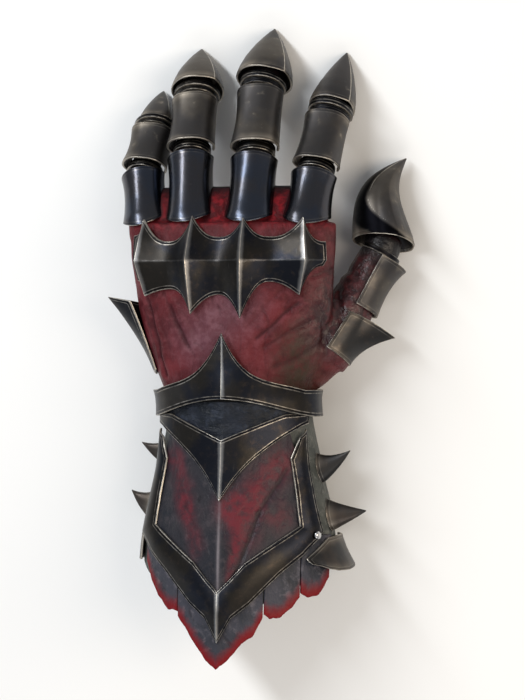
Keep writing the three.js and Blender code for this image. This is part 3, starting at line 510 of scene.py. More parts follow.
def leather(name, tones, crease_shade_tone, rough, wrinkle, stretch, red=None, streaks=None, specular=0.14,
            relief=0.6):
    """Worn leather: mottled tones, creases darkened with painted shade, pebbled grain.

    red is the colour and width of its red borders, and streaks the colour of its red streaks."""
    n = Nodes(name)
    broad = n.noise(24, 4, 0.6, distortion=0.5)
    mottle = n.noise(6, 5, 0.65)
    wrinkles = n.noise(wrinkle, 4, 0.55, n.stretched(stretch), 0.8)
    base = n.mix(n.span(broad, 0.38, 0.6), tones[0], tones[1])
    base = n.mix(n.times(n.span(mottle, 0.5, 0.72), 0.8), base, tones[2])
    if streaks:
        base = n.mix(n.times(n.attribute("streak"), n.span(mottle, 0.3, 0.62, 0.3, 1.0)), base, streaks)
        base = n.mix(n.times(n.attribute("pale"), 0.6), base, (0.26, 0.23, 0.25))
    # Painted shade in the folds and the deepest wrinkles.
    fold_shade = n.span(n.attribute("fold"), 0.05, 0.9)
    deep = n.rest(n.span(wrinkles, 0.3, 0.44))
    base = n.mix(n.larger(n.times(deep, 0.45), fold_shade), base, crease_shade_tone)
    if red:
        tone, width = red
        ragged = n.times(n.line(mottle, 1.6, 0.2), width)
        border = n.rest(n.span(n.attribute("edge"), n.times(ragged, 0.1), ragged))
        base = n.mix(border, base, tone)
    shine = n.line(mottle, 0.3, rough - 0.15)
    height = n.line(n.cells(1.3), 0.35, n.times(n.noise(0.8, 3, 0.6), 0.25))
    rolls = n.bump(n.line(mottle, 0.4, wrinkles), 1.8, relief)
    return n.finish(base, shine, 0.0, n.bump(height, 0.3, 0.45, rolls), Specular_IOR_Level=specular)


black_steel = steel("black_steel", (0.017, 0.018, 0.022), (0.03, 0.026, 0.022))
ridged_steel = steel("ridged_steel", (0.015, 0.0165, 0.022), (0.027, 0.0245, 0.022), halo=0.6, wear=1.0)
worn_steel = steel(
    "worn_steel", (0.066, 0.062, 0.061), (0.1, 0.089, 0.077),
    rough=0.44, dust=0.7, patina=0.25, trim=0.25,
)
polished_steel = steel(
    "polished_steel", (0.052, 0.06, 0.08), (0.062, 0.062, 0.07),
    rough=0.24, wear=0.6, trim=0.3,
)
thorn_steel = steel(
    "thorn_steel", (0.04, 0.039, 0.039), (0.062, 0.052, 0.046),
    rough=0.42, dust=0.3, trim=0.3,
)
silver = steel("silver", (0.5, 0.5, 0.52), (0.6, 0.58, 0.55), worn=(0.8, 0.78, 0.75), rough=0.24, patina=0.05)
navy_leather = leather(
    "navy_leather",
    [(0.004, 0.006, 0.01), (0.008, 0.011, 0.019), (0.024, 0.031, 0.048)], (0.001, 0.001, 0.002),
    wrinkle=5, stretch=(0.35, 1, 1), rough=0.4, specular=0.2, relief=1.0,
)
panel_leather = leather(
    "panel_leather",
    [(0.011, 0.013, 0.019), (0.021, 0.02, 0.025), (0.042, 0.036, 0.042)], (0.004, 0.003, 0.005),
    wrinkle=9, stretch=(1, 0.5, 1), rough=0.42, streaks=(0.11, 0.012, 0.02), specular=0.2,
)
skirt_leather = leather(
    "skirt_leather",
    [(0.022, 0.024, 0.031), (0.04, 0.04, 0.052), (0.12, 0.11, 0.125)], (0.01, 0.008, 0.011),
    wrinkle=8, stretch=(1, 0.5, 1), rough=0.44, red=((0.15, 0.0006, 0.003), 11), specular=0.2,
)
cuff_leather = leather(
    "cuff_leather",
    [(0.05, 0.055, 0.051), (0.085, 0.09, 0.082), (0.17, 0.17, 0.155)], (0.01, 0.01, 0.01),
    wrinkle=6, stretch=(1, 0.5, 1), rough=0.55,
)


# Finger armour

PLATE_DIP = 0.12
PLATE_ROWS = 25
LAME_ROWS = 7


def round_plate(digit, bone, start, end, angles, lift, bow=(0, 0), flare=(0, 0), reach_of=None, point=1):
    """place() of a curved plate over a bone, as in the part, with softer corners."""
    widest = np.max(np.abs(angles))
    length = digit.frames[bone][3]

    def place(angle, v, depth):
        middle = np.cos(0.5 * np.pi * angle / widest)
        share = (start + bow[0] * middle**point) * (1 - v) + (end + bow[1] * middle) * v
        swell = (flare[0] * (1 - v) ** 3 + flare[1] * v**3) * np.clip((widest - np.abs(angle)) / 0.5, 0.1, 1)
        dip = PLATE_DIP * np.maximum(0, -share) * length
        reach = digit.radius(bone, np.clip(share, 0, 1)) + lift + swell - dip
        if reach_of is None:
            return digit.point(bone, share, angle, reach - depth)
        across, up = reach_of(angle)
        return digit.section(bone, share, (reach - depth) * across, (reach - depth) * up)

    return place


FACET_ANGLES = np.radians([-104, -74, -42, 0, 42, 74, 104])
FACET_REACH = np.array([1.0, 1.03, 1.1, 1.0, 1.1, 1.03, 1.0])


def faceted(angle):
    """Section with a flatter front, softly rounded over the part's facets."""
    blur = [angle + step for step in np.radians(np.linspace(-12, 12, 7))]
    reach = sum(np.interp(near, FACET_ANGLES, FACET_REACH) for near in blur) / len(blur)
    return reach * np.sin(angle), reach * np.cos(angle)


# Width of a claw at places from its rim to its tip, as a share of the rim's
CLAW_AT = [0, 0.16, 0.36, 0.57, 0.76, 0.91, 1]
CLAW_WIDE = [1, 0.94, 0.8, 0.6, 0.38, 0.17, 0.03]
CLAW_EASE = (-0.05, -0.025, 0, 0.025, 0.05)
CLAW_WALL = 1.6
CLAW_LIP = 1.2
# The attribute edge in the hollow of a claw and on its lip
CLAW_HOLLOW_EDGE = 9
CLAW_LIP_EDGE = 0.3


def smooth_table(places, values, at):
    """Curve through a table, rounded between its rows."""
    near = [np.interp(np.clip(at + step, 0, 1), places, values) for step in CLAW_EASE]
    return sum(near) / len(near)


def claw_place(digit, start, bow, tilt, crease_at):
    base = digit.claw * digit.half_width
    length = digit.frames[2][3]

    def place(angle, at, depth):
        apart = np.arccos(np.clip(np.cos(angle - crease_at), -1, 1))
        crease = 1 + 0.1 * np.maximum(0, 1 - apart / 0.5)
        reach = bow * np.maximum(0, np.cos(angle)) + tilt * np.cos(angle - CLAW_TILT_ANGLE)
        rim = reach / length * (1 - at) ** 2
        aside = -digit.hook * np.sin(np.pi * at**1.2)
        wide = np.where(at < 0.9, smooth_table(CLAW_AT, CLAW_WIDE, at), np.interp(at, CLAW_AT, CLAW_WIDE))
        hollow = np.maximum(base * wide * crease - depth, 0.02)
        return digit.point(2, start + (1 - start) * at + rim, angle, hollow, aside)

    return place


def thumb_ridge(at):
    """Angle of the ridge between the thumb claw's side darkened with painted shade and its bright one."""
    return math.radians(-58 + 84 * max(0, 1 - at / 0.42) ** 1.7 + 12 * at)


def build_claw(name, digit, start, bow, tilt, crease_at, material, node, ridge=None):
    """Claw as a cup: outer skin to the tip, and a rim that turns into the hollow."""
    place = claw_place(digit, start, bow, tilt, crease_at)
    turn = crease_at + np.linspace(0, 2 * np.pi, 121 if ridge else 61)[:-1]
    outer_at = np.unique(np.concatenate([[0, 0.006, 0.015, 0.03], np.linspace(0.05, 1, 90 if ridge else 34)]))
    inner_at = [0.36, 0.2, 0.1, 0.03, 0.006]
    rings, edges = [], []
    for at in inner_at:
        thick = CLAW_WALL if at > 0.03 else CLAW_LIP
        rings.append(place(turn, np.full_like(turn, at), thick))
        edges.append(np.full(len(turn), CLAW_HOLLOW_EDGE if at > 0.05 else CLAW_LIP_EDGE))
    length = digit.frames[2][3] * (1 - start)
    for at in outer_at:
        full = np.full_like(turn, at)
        inset = 0.55 * max(0, 1 - at / 0.02) ** 2
        flat = place(turn, full, 0)
        rings.append(place(turn, full, inset - 0.14 * layered(flat, 11, 3)))
        edges.append(full * length)
    points, faces = capped(rings)
    hidden = np.full(len(turn), FAR)
    creases, shades = [hidden] * len(inner_at), [0 * turn] * len(inner_at)
    for at, ring in zip(outer_at, rings[len(inner_at):]):
        radius = np.linalg.norm(ring - ring.mean(0), axis=1)
        away = (turn - (ridge(at) if ridge else crease_at) + np.pi) % (2 * np.pi) - np.pi
        creases.append(np.abs(away) * radius)
        # shade: painted shade over the side up to the ridge.
        shades.append(np.clip(-away / 0.16, 0, 1) * np.clip((away + 1.5) / 0.3, 0, 1) if ridge else 0 * turn)
    attributes = {"edge": edges, "crease": creases, "shade": shades}
    attributes = {key: np.concatenate(rows) for key, rows in attributes.items()}
    make_object(name, points, faces, material, node, attributes)


def build_finger(name, digit):
    rounded = np.radians(np.linspace(-112, 112, 61))
    tuck = -1.5 * BASE_PLATE_TUCK / digit.frames[0][3]
    plate = round_plate(digit, 0, 0.16, 0.92, rounded, SEATED_LIFT, (tuck, 0.06), (1.5, 2.7), point=1.6)
    shell(f"{name}_base", rounded, PLATE_ROWS, plate, STEEL_WALL, polished_steel,
          f"{name}_base_plate", warp=0.05)
    lame = np.radians(np.linspace(-112, 112, 37))
    ring = round_plate(digit, 1, 0.01, 0.16, lame, LAME_LIFT)
    shell(f"{name}_joint_lame", lame, LAME_ROWS, ring, RING_WALL, black_steel, f"{name}_joint_ring")
    facets = np.unique(np.concatenate([np.linspace(a, b, 9) for a, b in zip(FACET_ANGLES, FACET_ANGLES[1:])]))
    middle = round_plate(digit, 1, 0.12, 0.88, FACET_ANGLES, PLATE_LIFT, (-0.025, 0.03), (1.8, 1.9), faceted)
    shell(f"{name}_middle", facets, PLATE_ROWS, middle, STEEL_WALL, worn_steel,
          f"{name}_middle_plate", sharp=40)
    lift, thick = LAME_LIFT + TIP_RING_LIFT, RING_WALL + 0.5 * TIP_RING_LIFT
    for number, (start, end, fuller) in enumerate([(-0.07, 0.01, 0.7), (0.015, 0.11, 1.6)], 1):
        tip = round_plate(digit, 2, start, end, lame, lift + fuller)
        shell(f"{name}_tip_lame_{number}", lame, LAME_ROWS, tip, thick, black_steel,
              f"{name}_tip_ring_{number}", rim=0.9)
    build_claw(f"{name}_nail", digit, 0.125, 0, 0, CLAW_CREASE_ANGLE, worn_steel, f"{name}_claw")


def thorn_reach(angle, v, at, spread, length):
    near = np.maximum(0, 1 - np.abs(angle - at) / spread)
    return length * near**1.6 * v**1.8


def build_thumb():
    lame = np.radians(np.linspace(-80, 112, 33))
    ring = round_plate(thumb, 1, 0.89, 0.97, lame, LAME_LIFT)
    shell("thumb_lame", lame, LAME_ROWS, ring, RING_WALL, black_steel, "thumb_ring")
    wide = np.radians(np.linspace(-16, 116, 41))
    middle = round_plate(thumb, 1, 0.03, 0.87, wide, SEATED_LIFT, flare=(0.8, 6))
    shell("thumb_middle", wide, 29, middle, STEEL_WALL, worn_steel, "thumb_middle_plate")
    at, spread = math.radians(62), math.radians(46)

    def base(angle, v, depth):
        share = 0.28 + 0.6 * v + 0.08 * np.cos(angle - at) * v
        out = thorn_reach(angle, v, at, spread, THUMB_THORN)
        return thumb.point(0, share, angle, thumb.radius(0, share) + SEATED_LIFT - depth + out)

    around = np.radians(np.linspace(-18, 116, 45))
    shell("thumb_base", around, 31, base, STEEL_WALL, thorn_steel, "thumb_base_plate", creases=[at])
    build_claw("thumb_nail", thumb, 0.06, 1.5, 2.2, 0, worn_steel, "thumb_claw", thumb_ridge)


# Hand armour

# Across as a share of the palm, then top and bottom as shares of the plate's length
KNUCKLE_PEAKS = [(-0.375, 0.99, 0.2), (-0.147, 1.02, 0.01), (0.079, 1, -0.04), (0.332, 1, 0.2)]
KNUCKLE_VALLEYS = [
    (-0.45, 0.83, 0.36), (-0.268, 0.76, 0.27), (-0.025, 0.8, 0.21), (0.21, 0.8, 0.34), (0.4475, 0.75, 0.5),
]
KNUCKLE_CREASE = 0.56
KNUCKLE_CROWN = 3
KNUCKLE_DROOP = 0.2


def build_knuckles():
    """Knuckle plate: four upright creases crossed by one, a scalloped lower edge and pointed ends."""
    start = KNUCKLES + KNUCKLE_PLATE_OVERHANG - KNUCKLE_PLATE_LENGTH
    peaks, valleys = np.array(KNUCKLE_PEAKS), np.array(KNUCKLE_VALLEYS)
    count = len(peaks)

    def columns(k):
        """Across, rise, top and bottom at k, where valley i is at 2i and peak i at 2i + 1."""
        i = np.clip((k // 2).astype(int), 0, count - 1)
        left = k - 2 * i
        rise = np.clip(np.where(left <= 1, left, 2 - left), 0, 1)
        side = np.where(left <= 1, i, i + 1)

        def mix(column, power):
            low = valleys[side, column]
            return low + (peaks[i, column] - low) * rise**power

        return mix(0, 1), rise, mix(1, 2.7), mix(2, 2.2)

    def place(k, v, depth):
        x, rise, top, bottom = columns(k)
        far_end = np.where(v < 0.5, bottom, top)
        share = KNUCKLE_CREASE + (far_end - KNUCKLE_CREASE) * np.abs(2 * v - 1)
        y = start + share * KNUCKLE_PLATE_LENGTH
        crown = 1 - np.abs(2 * v - 1)
        ahead = np.maximum(0, 2 * v - 1)
        raised = KNUCKLE_CROWN * (crown + 0.8 * ahead) + KNUCKLE_RIDGE * rise**1.8 * (0.5 + 0.5 * crown)
        point = over_arm(x * PALM_WIDTH, np.minimum(y, KNUCKLES), SEATED_LIFT + raised - depth)
        point[..., 1] = y
        point[..., 2] -= KNUCKLE_DROOP * np.maximum(0, y - KNUCKLES + KNUCKLE_RIDGE)
        return point

    steps = np.linspace(0, 2 * count, 16 * count + 1)
    shell("knuckles", steps, 33, place, STEEL_WALL, ridged_steel, "knuckle_plate",
          creases=[1, 3, 5, 7], cross_creases=[0.5], sharp=24)


def build_fin():
    at, spread = math.radians(-86), math.radians(30)
    start, end = WRIST + 0.15 * HAND_LENGTH, WRIST + 0.55 * HAND_LENGTH
    tip_rise = 0.3 * FIN_REACH

    def place(angle, v, depth):
        near = np.maximum(0, 1 - np.abs(angle - at) / spread)
        y = (start + tip_rise * (1 - near)) * (1 - v) + (end + tip_rise * near) * v
        return arm_point(angle, y, SEATED_LIFT + thorn_reach(angle, v, at, spread, FIN_REACH) - depth)

    angles = np.radians(np.linspace(-120, -70, 41))
    shell("fin", angles, 29, place, STEEL_WALL, black_steel, "hand_fin", creases=[at])


def build_band():
    middle = WRIST - 0.1 * BAND_WIDTH

    def place(angle, v, depth):
        up = np.maximum(0, np.cos(angle))
        turned = np.where(angle > np.pi, angle - 2 * np.pi, angle)
        peak = np.maximum(0, 1 - np.abs(turned) / math.radians(62))
        lower = middle - 0.5 * BAND_WIDTH + 0.65 * BAND_WIDTH * up**3
        upper = middle + 0.5 * BAND_WIDTH + BAND_SPIKE * (0.28 * peak + 0.72 * peak**6)
        return arm_point(angle, lower * (1 - v) + upper * v, BAND_LIFT - depth + 1.2 * up * v)

    near = np.radians([0, 0.8, 2, 4, 6.5, 9.5, 13, 17, 21])
    angles = np.concatenate([-near[::-1], near[1:], np.radians(np.linspace(26, 334, 78))])
    angles = np.sort(np.where(angles < 0, angles + 2 * np.pi, angles))
    shell("band", angles, 25, place, STEEL_WALL, ridged_steel, "wrist_band",
          looped=True, creases=[0], sharp=12)


# Forearm armour

def mirrored(points):
    xs, ys = np.array(points).T
    return lambda x: np.interp(np.abs(x), xs, ys)


def top_plate(lower, upper, lift):
    return lambda x, v, depth: over_arm(x, lower(x) * (1 - v) + upper(x) * v, lift - depth)


def both_sides(reach, count):
    """Columns at even turns round the arm, with one on the ridge."""
    half = reach * np.sin(np.linspace(0, 1.2, count)) / math.sin(1.2)
    return np.concatenate([-half[::-1], half[1:]])


CHEVRON_REACH = 0.94 * 0.5 * WRIST_WIDTH
CHEVRON_TOP = WRIST - 0.5 * BAND_WIDTH
PANEL_REACH = 0.8 * FRAME_REACH
SEAM_GAP = 2


def seam(x):
    return SKIRT_LENGTH * (0.55 + 0.72 * np.abs(x) / FRAME_REACH)


def eased(points, blur):
    """A mirrored edge with its corners rounded off, apart from the one on the ridge."""
    edge = mirrored(points)
    steps = np.linspace(-blur, blur, 5)

    def rounded(x):
        near = np.minimum(1, np.abs(x) / blur)
        return sum(edge(np.abs(x) + step * near) for step in steps) / len(steps)

    return rounded


def build_chevron():
    upper = mirrored([
        (0, CHEVRON_TOP - CHEVRON_NOTCH),
        (0.75 * CHEVRON_REACH, CHEVRON_TOP),
        (CHEVRON_REACH, CHEVRON_TOP + 0.07 * CHEVRON_NOTCH),
    ])
    lower = eased([
        (0, CHEVRON_TOP - CHEVRON_NOTCH - CHEVRON_DEPTH),
        (0.16 * CHEVRON_REACH, CHEVRON_TOP - 0.2 * CHEVRON_NOTCH - CHEVRON_DEPTH),
        (0.38 * CHEVRON_REACH, CHEVRON_TOP - 0.75 * CHEVRON_DEPTH),
        (0.66 * CHEVRON_REACH, CHEVRON_TOP - 0.45 * CHEVRON_DEPTH),
        (CHEVRON_REACH, CHEVRON_TOP - 0.33 * CHEVRON_NOTCH),
    ], 3)
    place = top_plate(lower, upper, LAYER_2)
    shell("chevron", both_sides(CHEVRON_REACH, 30), 21, place, STEEL_WALL, ridged_steel,
          "chevron_plate", creases=[0], sharp=12)


def build_gusset():
    lower = mirrored([
        (0, CHEVRON_TOP - 1.47 * CHEVRON_NOTCH),
        (CHEVRON_REACH, CHEVRON_TOP - 0.13 * CHEVRON_NOTCH),
    ])
    flat = top_plate(lower, lambda x: WRIST - GAP + 0 * x, LAYER_1)

    def place(x, v, depth):
        point = flat(x, v, depth)
        point[..., 2] += np.where(np.asarray(depth) < 1, 0.45 * layered(point * [0.35, 1, 1], 5, 31), 0)
        return point

    shell("gusset", both_sides(0.95 * CHEVRON_REACH, 34), 41, place, LEATHER_WALL,
          navy_leather, "wrist_gusset", warp=0, sharp=60)


# Outer and inner corner of each section from the point of the V upwards, as shares of FRAME_REACH and
# SKIRT_LENGTH
FRAME_ROWS = [
    ((0, 0.26), (0, 0.75)),
    ((0.14, 0.49), (0.12, 0.86)),
    ((0.32, 0.62), (0.28, 1.02)),
    ((0.61, 0.9), (0.52, 1.18)),
    ((0.83, 1.08), (0.7, 1.3)),
    ((1, 1.28), (0.79, 1.36)),
    ((0.9, 1.66), (0.74, 1.66)),
    ((0.84, 1.9), (0.67, 2.0)),
    ((0.79, 2.28), (0.74, 2.2)),
]


def build_frame():
    size = np.array([FRAME_REACH, SKIRT_LENGTH])
    right = [(np.array(out) * size, np.array(inn) * size) for out, inn in FRAME_ROWS]
    left = [(out * [-1, 1], inn * [-1, 1]) for out, inn in right[:0:-1]]
    outs, inns = (np.array(side) for side in zip(*(left + right)))
    places = np.arange(len(outs))

    def plan(points, k):
        return np.stack([np.interp(k, places, points[:, axis]) for axis in (0, 1)], -1)

    def place(k, v, depth):
        spot = plan(outs, k) * (1 - v[..., None]) + plan(inns, k) * v[..., None]
        crown = FRAME_CROWN * np.sin(np.pi * v)
        return over_arm(spot[..., 0], spot[..., 1], LAYER_2 + crown - depth)

    last = len(outs) - 1
    shell("frame", np.linspace(0, last, 8 * last + 1), 17, place, STEEL_WALL, ridged_steel,
          "forearm_frame", creases=[len(right) - 1], sharp=12)


# Folds and streaks of the panel: from, to and width in millimetres, and strength
PANEL_FOLDS = [
    ((36, 118), (22, 92), 1.6, 0.9),
    ((22, 92), (9, 52), 1.6, 1.0),
    ((-30, 112), (-15, 84), 2.2, 0.5),
    ((-20, 84), (-12, 56), 1.8, 0.35),
]
PANEL_STREAKS = [
    ((-32, 124), (-22, 92), 6, 0.7),
    ((-24, 100), (-14, 72), 4.5, 0.5),
    ((34, 124), (10, 92), 8, 0.9),
    ((6, 96), (14, 78), 8, 0.7),
    ((20, 96), (34, 88), 6, 0.5),
    ((12, 78), (9, 56), 2.5, 0.8),
]


def from_segment(plan, a, b):
    """Distance of plan points from the segment a to b."""
    a, b = np.array(a, float), np.array(b, float)
    share = np.clip(((plan - a) @ (b - a)) / ((b - a) @ (b - a)), 0, 1)
    return np.linalg.norm(plan - a - share[..., None] * (b - a), axis=-1)


def lines(plan, rows):
    """Sum of soft lines over plan points, from rows of from, to, width and strength."""
    return sum(deep * np.exp(-((from_segment(plan, a, b) / wide) ** 2)) for a, b, wide, deep in rows)


def build_panel():
    upper = mirrored([
        (0, CHEVRON_TOP - 1.6 * CHEVRON_NOTCH),
        (0.84 * PANEL_REACH, CHEVRON_TOP - 0.73 * CHEVRON_NOTCH),
        (PANEL_REACH, CHEVRON_TOP - 1.11 * CHEVRON_DEPTH),
    ])
    flat = top_plate(lambda x: seam(x) + SEAM_GAP, upper, LAYER_1)

    def folds(plan):
        spots = np.concatenate([plan, 0 * plan[..., :1]], -1)
        bent = plan + 1.5 * noise(spots, 14, 3)[..., None]
        return -lines(bent, PANEL_FOLDS)

    def place(x, v, depth):
        point = flat(x, v, depth)
        outer = np.asarray(depth) < 1
        sink = folds(point[..., :2]) + 0.35 * layered(point * [1, 0.5, 1], 11, 19)
        point[..., 2] += np.where(outer, np.clip(sink, -1.2, 0.3), 0)
        return point

    def paint(x, v, points):
        plan = points[..., :2]
        rough = layered(points * [1, 0.45, 0.3], 7, 41)
        streak = lines(plan + 3 * rough[..., None], PANEL_STREAKS)
        pale = np.exp(-((x / 0.8) ** 2)) * np.clip(1.15 - np.abs(plan[..., 1] - 66) / 36, 0, 1)
        # fold: painted shade in the sunk folds.
        fold = 0.6 * np.clip(-folds(plan), 0, 1)
        return {"streak": np.clip(streak, 0, 1), "pale": pale, "fold": fold}

    shell("panel", both_sides(PANEL_REACH, 46), 70, place, LEATHER_WALL, panel_leather,
          "forearm_panel", creases=[0], warp=0, sharp=60, extra=paint)


# Lower edges, as shares of SKIRT_REACH and SKIRT_LENGTH
SKIRT_EDGES = {
    "skirt_main": [
        [-0.46, 0.5], [-0.354, 0.371], [-0.248, 0.242], [-0.124, 0.081], [-0.018, -0.008],
        [0.088, 0.065], [0.23, 0.25], [0.336, 0.323], [0.434, 0.5],
    ],
    "skirt_petal_1": [
        [0.444, 0.532], [0.496, 0.476], [0.602, 0.492], [0.699, 0.581], [0.765, 0.685],
    ],
    "skirt_petal_2": [
        [0.775, 0.726], [0.832, 0.685], [0.92, 0.702], [0.965, 0.76], [1, 0.85],
    ],
    "skirt_left": [
        [-0.876, 0.984], [-0.796, 0.806], [-0.708, 0.661], [-0.584, 0.548], [-0.471, 0.54],
    ],
}


def build_skirt(name, points):
    xs, ys = (np.array(points) * [SKIRT_REACH, SKIRT_LENGTH]).T

    def lower(x):
        torn = layered(np.stack([x, 0 * x, 0 * x], -1), 5, 13, 4)
        return np.interp(x, xs, ys) + 0.9 * torn + 0.5

    def upper(x):
        return np.minimum(seam(x), 1.27 * SKIRT_LENGTH)

    flat = top_plate(lower, upper, LAYER_1)

    def place(x, v, depth):
        point = flat(x, v, depth)
        point[..., 2] += 0.3 * layered(point * [1, 0.5, 1], 10, 23)
        return point

    def paint(x, v, points):
        below = points[..., 1] - lower(x)
        return {"edge": np.minimum(below, 40)}

    columns = np.linspace(xs[0], xs[-1], max(24, int((xs[-1] - xs[0]) * 2.2)))
    shell(name + "_cloth", columns, 34, place, LEATHER_WALL, skirt_leather, name,
          warp=0, sharp=60, extra=paint, rim=0.8)


# Node, side, place along the forearm, angle, size, stoutness and sweep
THORNS = [
    ("cuff_thorn_1", 1, 0.58, 88, 1.0, 0.43, 0.5),
    ("cuff_thorn_2", 1, 0.29, 88, 1.08, 0.43, 0.12),
    ("cuff_thorn_3", -1, 0.67, 92, 0.7, 0.45, 0.4),
    ("cuff_thorn_4", -1, 0.34, 92, 0.72, 0.57, 0.55),
]
# Place along a thorn and width there
THORN_SECTIONS = [(0, 1), (0.3, 0.68), (0.65, 0.36), (1, 0.035)]


def build_thorn(name, side, at, angle, size, stout, sweep):
    y, length = CUFF_REAR + at * FOREARM_LENGTH, size * THORN_LENGTH
    turn = np.linspace(0, 2 * np.pi, 41)[:-1]
    shares, wides = np.array(THORN_SECTIONS).T
    stops = [(0, 0.1), (0, 0.6), (0, 0.93), (0.01, 1)]
    stops += [(share, np.interp(share, shares, wides)) for share in np.linspace(0.04, 1, 24)]
    rings, edges, creases = [], [], []
    for share, wide in stops:
        radius = stout * length * wide
        tilt = 0.75 * radius * np.cos(turn) / (0.5 * CUFF_HEIGHT)
        along = y + radius * np.sin(turn) + sweep * length * share**1.6
        ring = arm_point(side * (math.radians(angle) + tilt), along, GAP)
        ring[:, 0] += side * share * length
        rings.append(ring)
        edges.append(np.full(len(turn), share * length + (0 if share else 5)))
        creases.append(np.minimum(np.abs(turn - np.pi / 2), np.abs(turn - 1.5 * np.pi)) * radius)
    points, faces = capped(rings)
    make_object(name + "_spike", points, faces, thorn_steel, name,
                {"edge": np.concatenate(edges), "crease": np.concatenate(creases)})


# Side, lift, flare, and rows of an angle and the start and end there, as shares of SKIRT_LENGTH
FLARES = {
    "side_flare_right": (1, LAYER_2, FLARE_REACH, [
        (50, 1, 1.05), (56, 0.98, 1.11), (62, 0.95, 1.17), (70, 0.93, 1.24),
        (84, 0.93, 1.26), (100, 0.95, 1.26), (116, 1, 1.26),
    ]),
    "side_flare_left": (-1, LAYER_1, 0, [(72, 1, 1.3), (85, 1, 1.3), (98, 1, 1.3), (112, 1, 1.3)]),
}


def build_flare(name, side, lift, flare, rows):
    turns, starts, ends = np.array(rows).T

    def place(k, v, depth):
        angle, start, end = (np.interp(k, np.arange(len(rows)), column) for column in (turns, starts, ends))
        reach = lift + flare * (1 - v) ** 1.5 - depth
        return arm_point(side * np.radians(angle), (start * (1 - v) + end * v) * SKIRT_LENGTH, reach)

    columns = np.linspace(0, len(rows) - 1, 6 * len(rows) - 5)
    shell(name + "_plate", columns, 19, place, STEEL_WALL, thorn_steel, name)


# Reach from the rivet's axis and rise over its foot, as shares of its diameter and height
RIVET_PROFILE = [
    (0.02, 0), (0.4, 0), (0.5, 0.05), (0.5, 0.4), (0.46, 0.62), (0.36, 0.82), (0.2, 0.96), (0.02, 1),
]


def build_rivet():
    x, y = 0.925 * FRAME_REACH, 1.27 * SKIRT_LENGTH
    spot = over_arm(x, y, LAYER_2 + FRAME_CROWN)
    out = unit(over_arm(x, y, LAYER_2 + 10 * FRAME_CROWN) - spot)
    side = unit(np.cross(out, [0, 1, 0]))
    other = np.cross(out, side)
    foot = spot + 2 * GAP * out
    turn = np.linspace(0, 2 * np.pi, 33)[:-1]
    rings = []
    for reach, rise in RIVET_PROFILE:
        circle = np.outer(np.cos(turn), side) + np.outer(np.sin(turn), other)
        rings.append(foot + circle * reach * RIVET_DIAMETER + out * rise * RIVET_HEIGHT)
    points, faces = capped(rings)
    far = np.full(len(points), FAR)
    make_object("rivet_head", points, faces, silver, "frame_rivet", {"edge": far, "crease": far})


# Leather: glove and cuff

def read(items, key, width=1, kind=float):
    values = np.empty(len(items) * width, dtype=kind)
    items.foreach_get(key, values)
    return values


def fuse(parts, voxel, smooth):
    """One skin round overlapping closed parts, as points, quads and normals."""
    points = np.concatenate([part[0] for part in parts])
    faces, start = [], 0
    for part_points, part_faces in parts:
        faces += [tuple(index + start for index in face) for face in part_faces]
        start += len(part_points)
    mesh = bpy.data.meshes.new("fused")
    mesh.from_pydata(points.tolist(), [], faces)
    obj = bpy.data.objects.new("fused", mesh)
    bpy.context.scene.collection.objects.link(obj)
    remesh = obj.modifiers.new("skin", "REMESH")
    remesh.mode = "VOXEL"
    remesh.voxel_size = voxel
    ease = obj.modifiers.new("ease", "SMOOTH")
    ease.factor = 0.5
    ease.iterations = smooth
    bpy.context.view_layer.update()
    made = bpy.data.meshes.new_from_object(obj.evaluated_get(bpy.context.evaluated_depsgraph_get()))
    bpy.data.objects.remove(obj)
    found = read(made.vertices, "co", 3).reshape(-1, 3)
    normals = read(made.vertex_normals, "vector", 3).reshape(-1, 3)
    corners = read(made.loops, "vertex_index", kind=int)
    starts = read(made.polygons, "loop_start", kind=int)
    bpy.data.meshes.remove(made)
    return found, np.split(corners, starts[1:]), normals


THUMB_SEAM = 0.86
# Sections of the thumb's root: place along its first bone and reach
THUMB_ROOT = [(-0.55, 0.4), (-0.15, 0.98), (0.3, 1.363), (THUMB_SEAM, 1.2)]
TURN = np.linspace(0, 2 * np.pi, 49)[:-1]


def sleeve_part(digit, first_share):
    rings = [digit.point(0, first_share, TURN, digit.radius(0, 0))]
    for bone, share in [(0, 0.15), (0, 0.6), (1, 0), (1, 0.5), (2, 0), (2, digit.sleeve_end)]:
        ring = digit.point(bone, share, TURN, digit.radius(bone, share))
        if bone and not share:
            ring = 0.5 * (ring + digit.point(bone - 1, 1, TURN, digit.radius(bone, 0)))
        rings.append(ring)
    end = digit.sleeve_end + SLEEVE_DOME / digit.frames[2][3]
    rings.append(digit.point(2, end, TURN, SLEEVE_TIP * digit.radius(2, digit.sleeve_end)))
    return capped(rings)


# Sections of a web: place past the knuckles, half height and drop
WEB_ROWS = [(-12, 10, 0), (2, 9, 2), (10, 7.5, 5), (17, 5.5, 8), (21, 3, 10), (22.5, 1, 11)]


def web_part(left, right):
    """Leather web between two fingers, from the knuckles to its hem, low between their plates."""
    a, b = left.joints[0], right.joints[0]
    rings = []
    for ahead, tall, drop in WEB_ROWS:
        centre = 0.5 * (a + b) + [0, ahead, -drop]
        wide = 0.5 * (b[0] - a[0]) - 2
        rings.append(centre + np.stack([wide * np.cos(TURN), 0 * TURN, tall * np.sin(TURN)], -1))
    return capped(rings)


def crease_lines(points, normals, folds):
    """Push along the normals and painted shade mark of creases on the back, given as from, to, width and
    depth.
    """
    plan = points[:, :2] + 2.2 * np.stack([noise(points, 13, 5), noise(points, 13, 6)], -1)
    top = np.clip(normals[:, 2] * 2 + 0.6, 0, 1)
    push, shade_mark = np.zeros(len(points)), np.zeros(len(points))
    for a, b, wide, deep in folds:
        away = from_segment(plan, a, b)
        valley = np.exp(-((away / wide) ** 2))
        swell = np.exp(-(((away - 2.2 * wide) / (1.3 * wide)) ** 2))
        push += deep * (0.45 * swell - valley) * top
        shade_mark += deep * valley * top
    return push, shade_mark


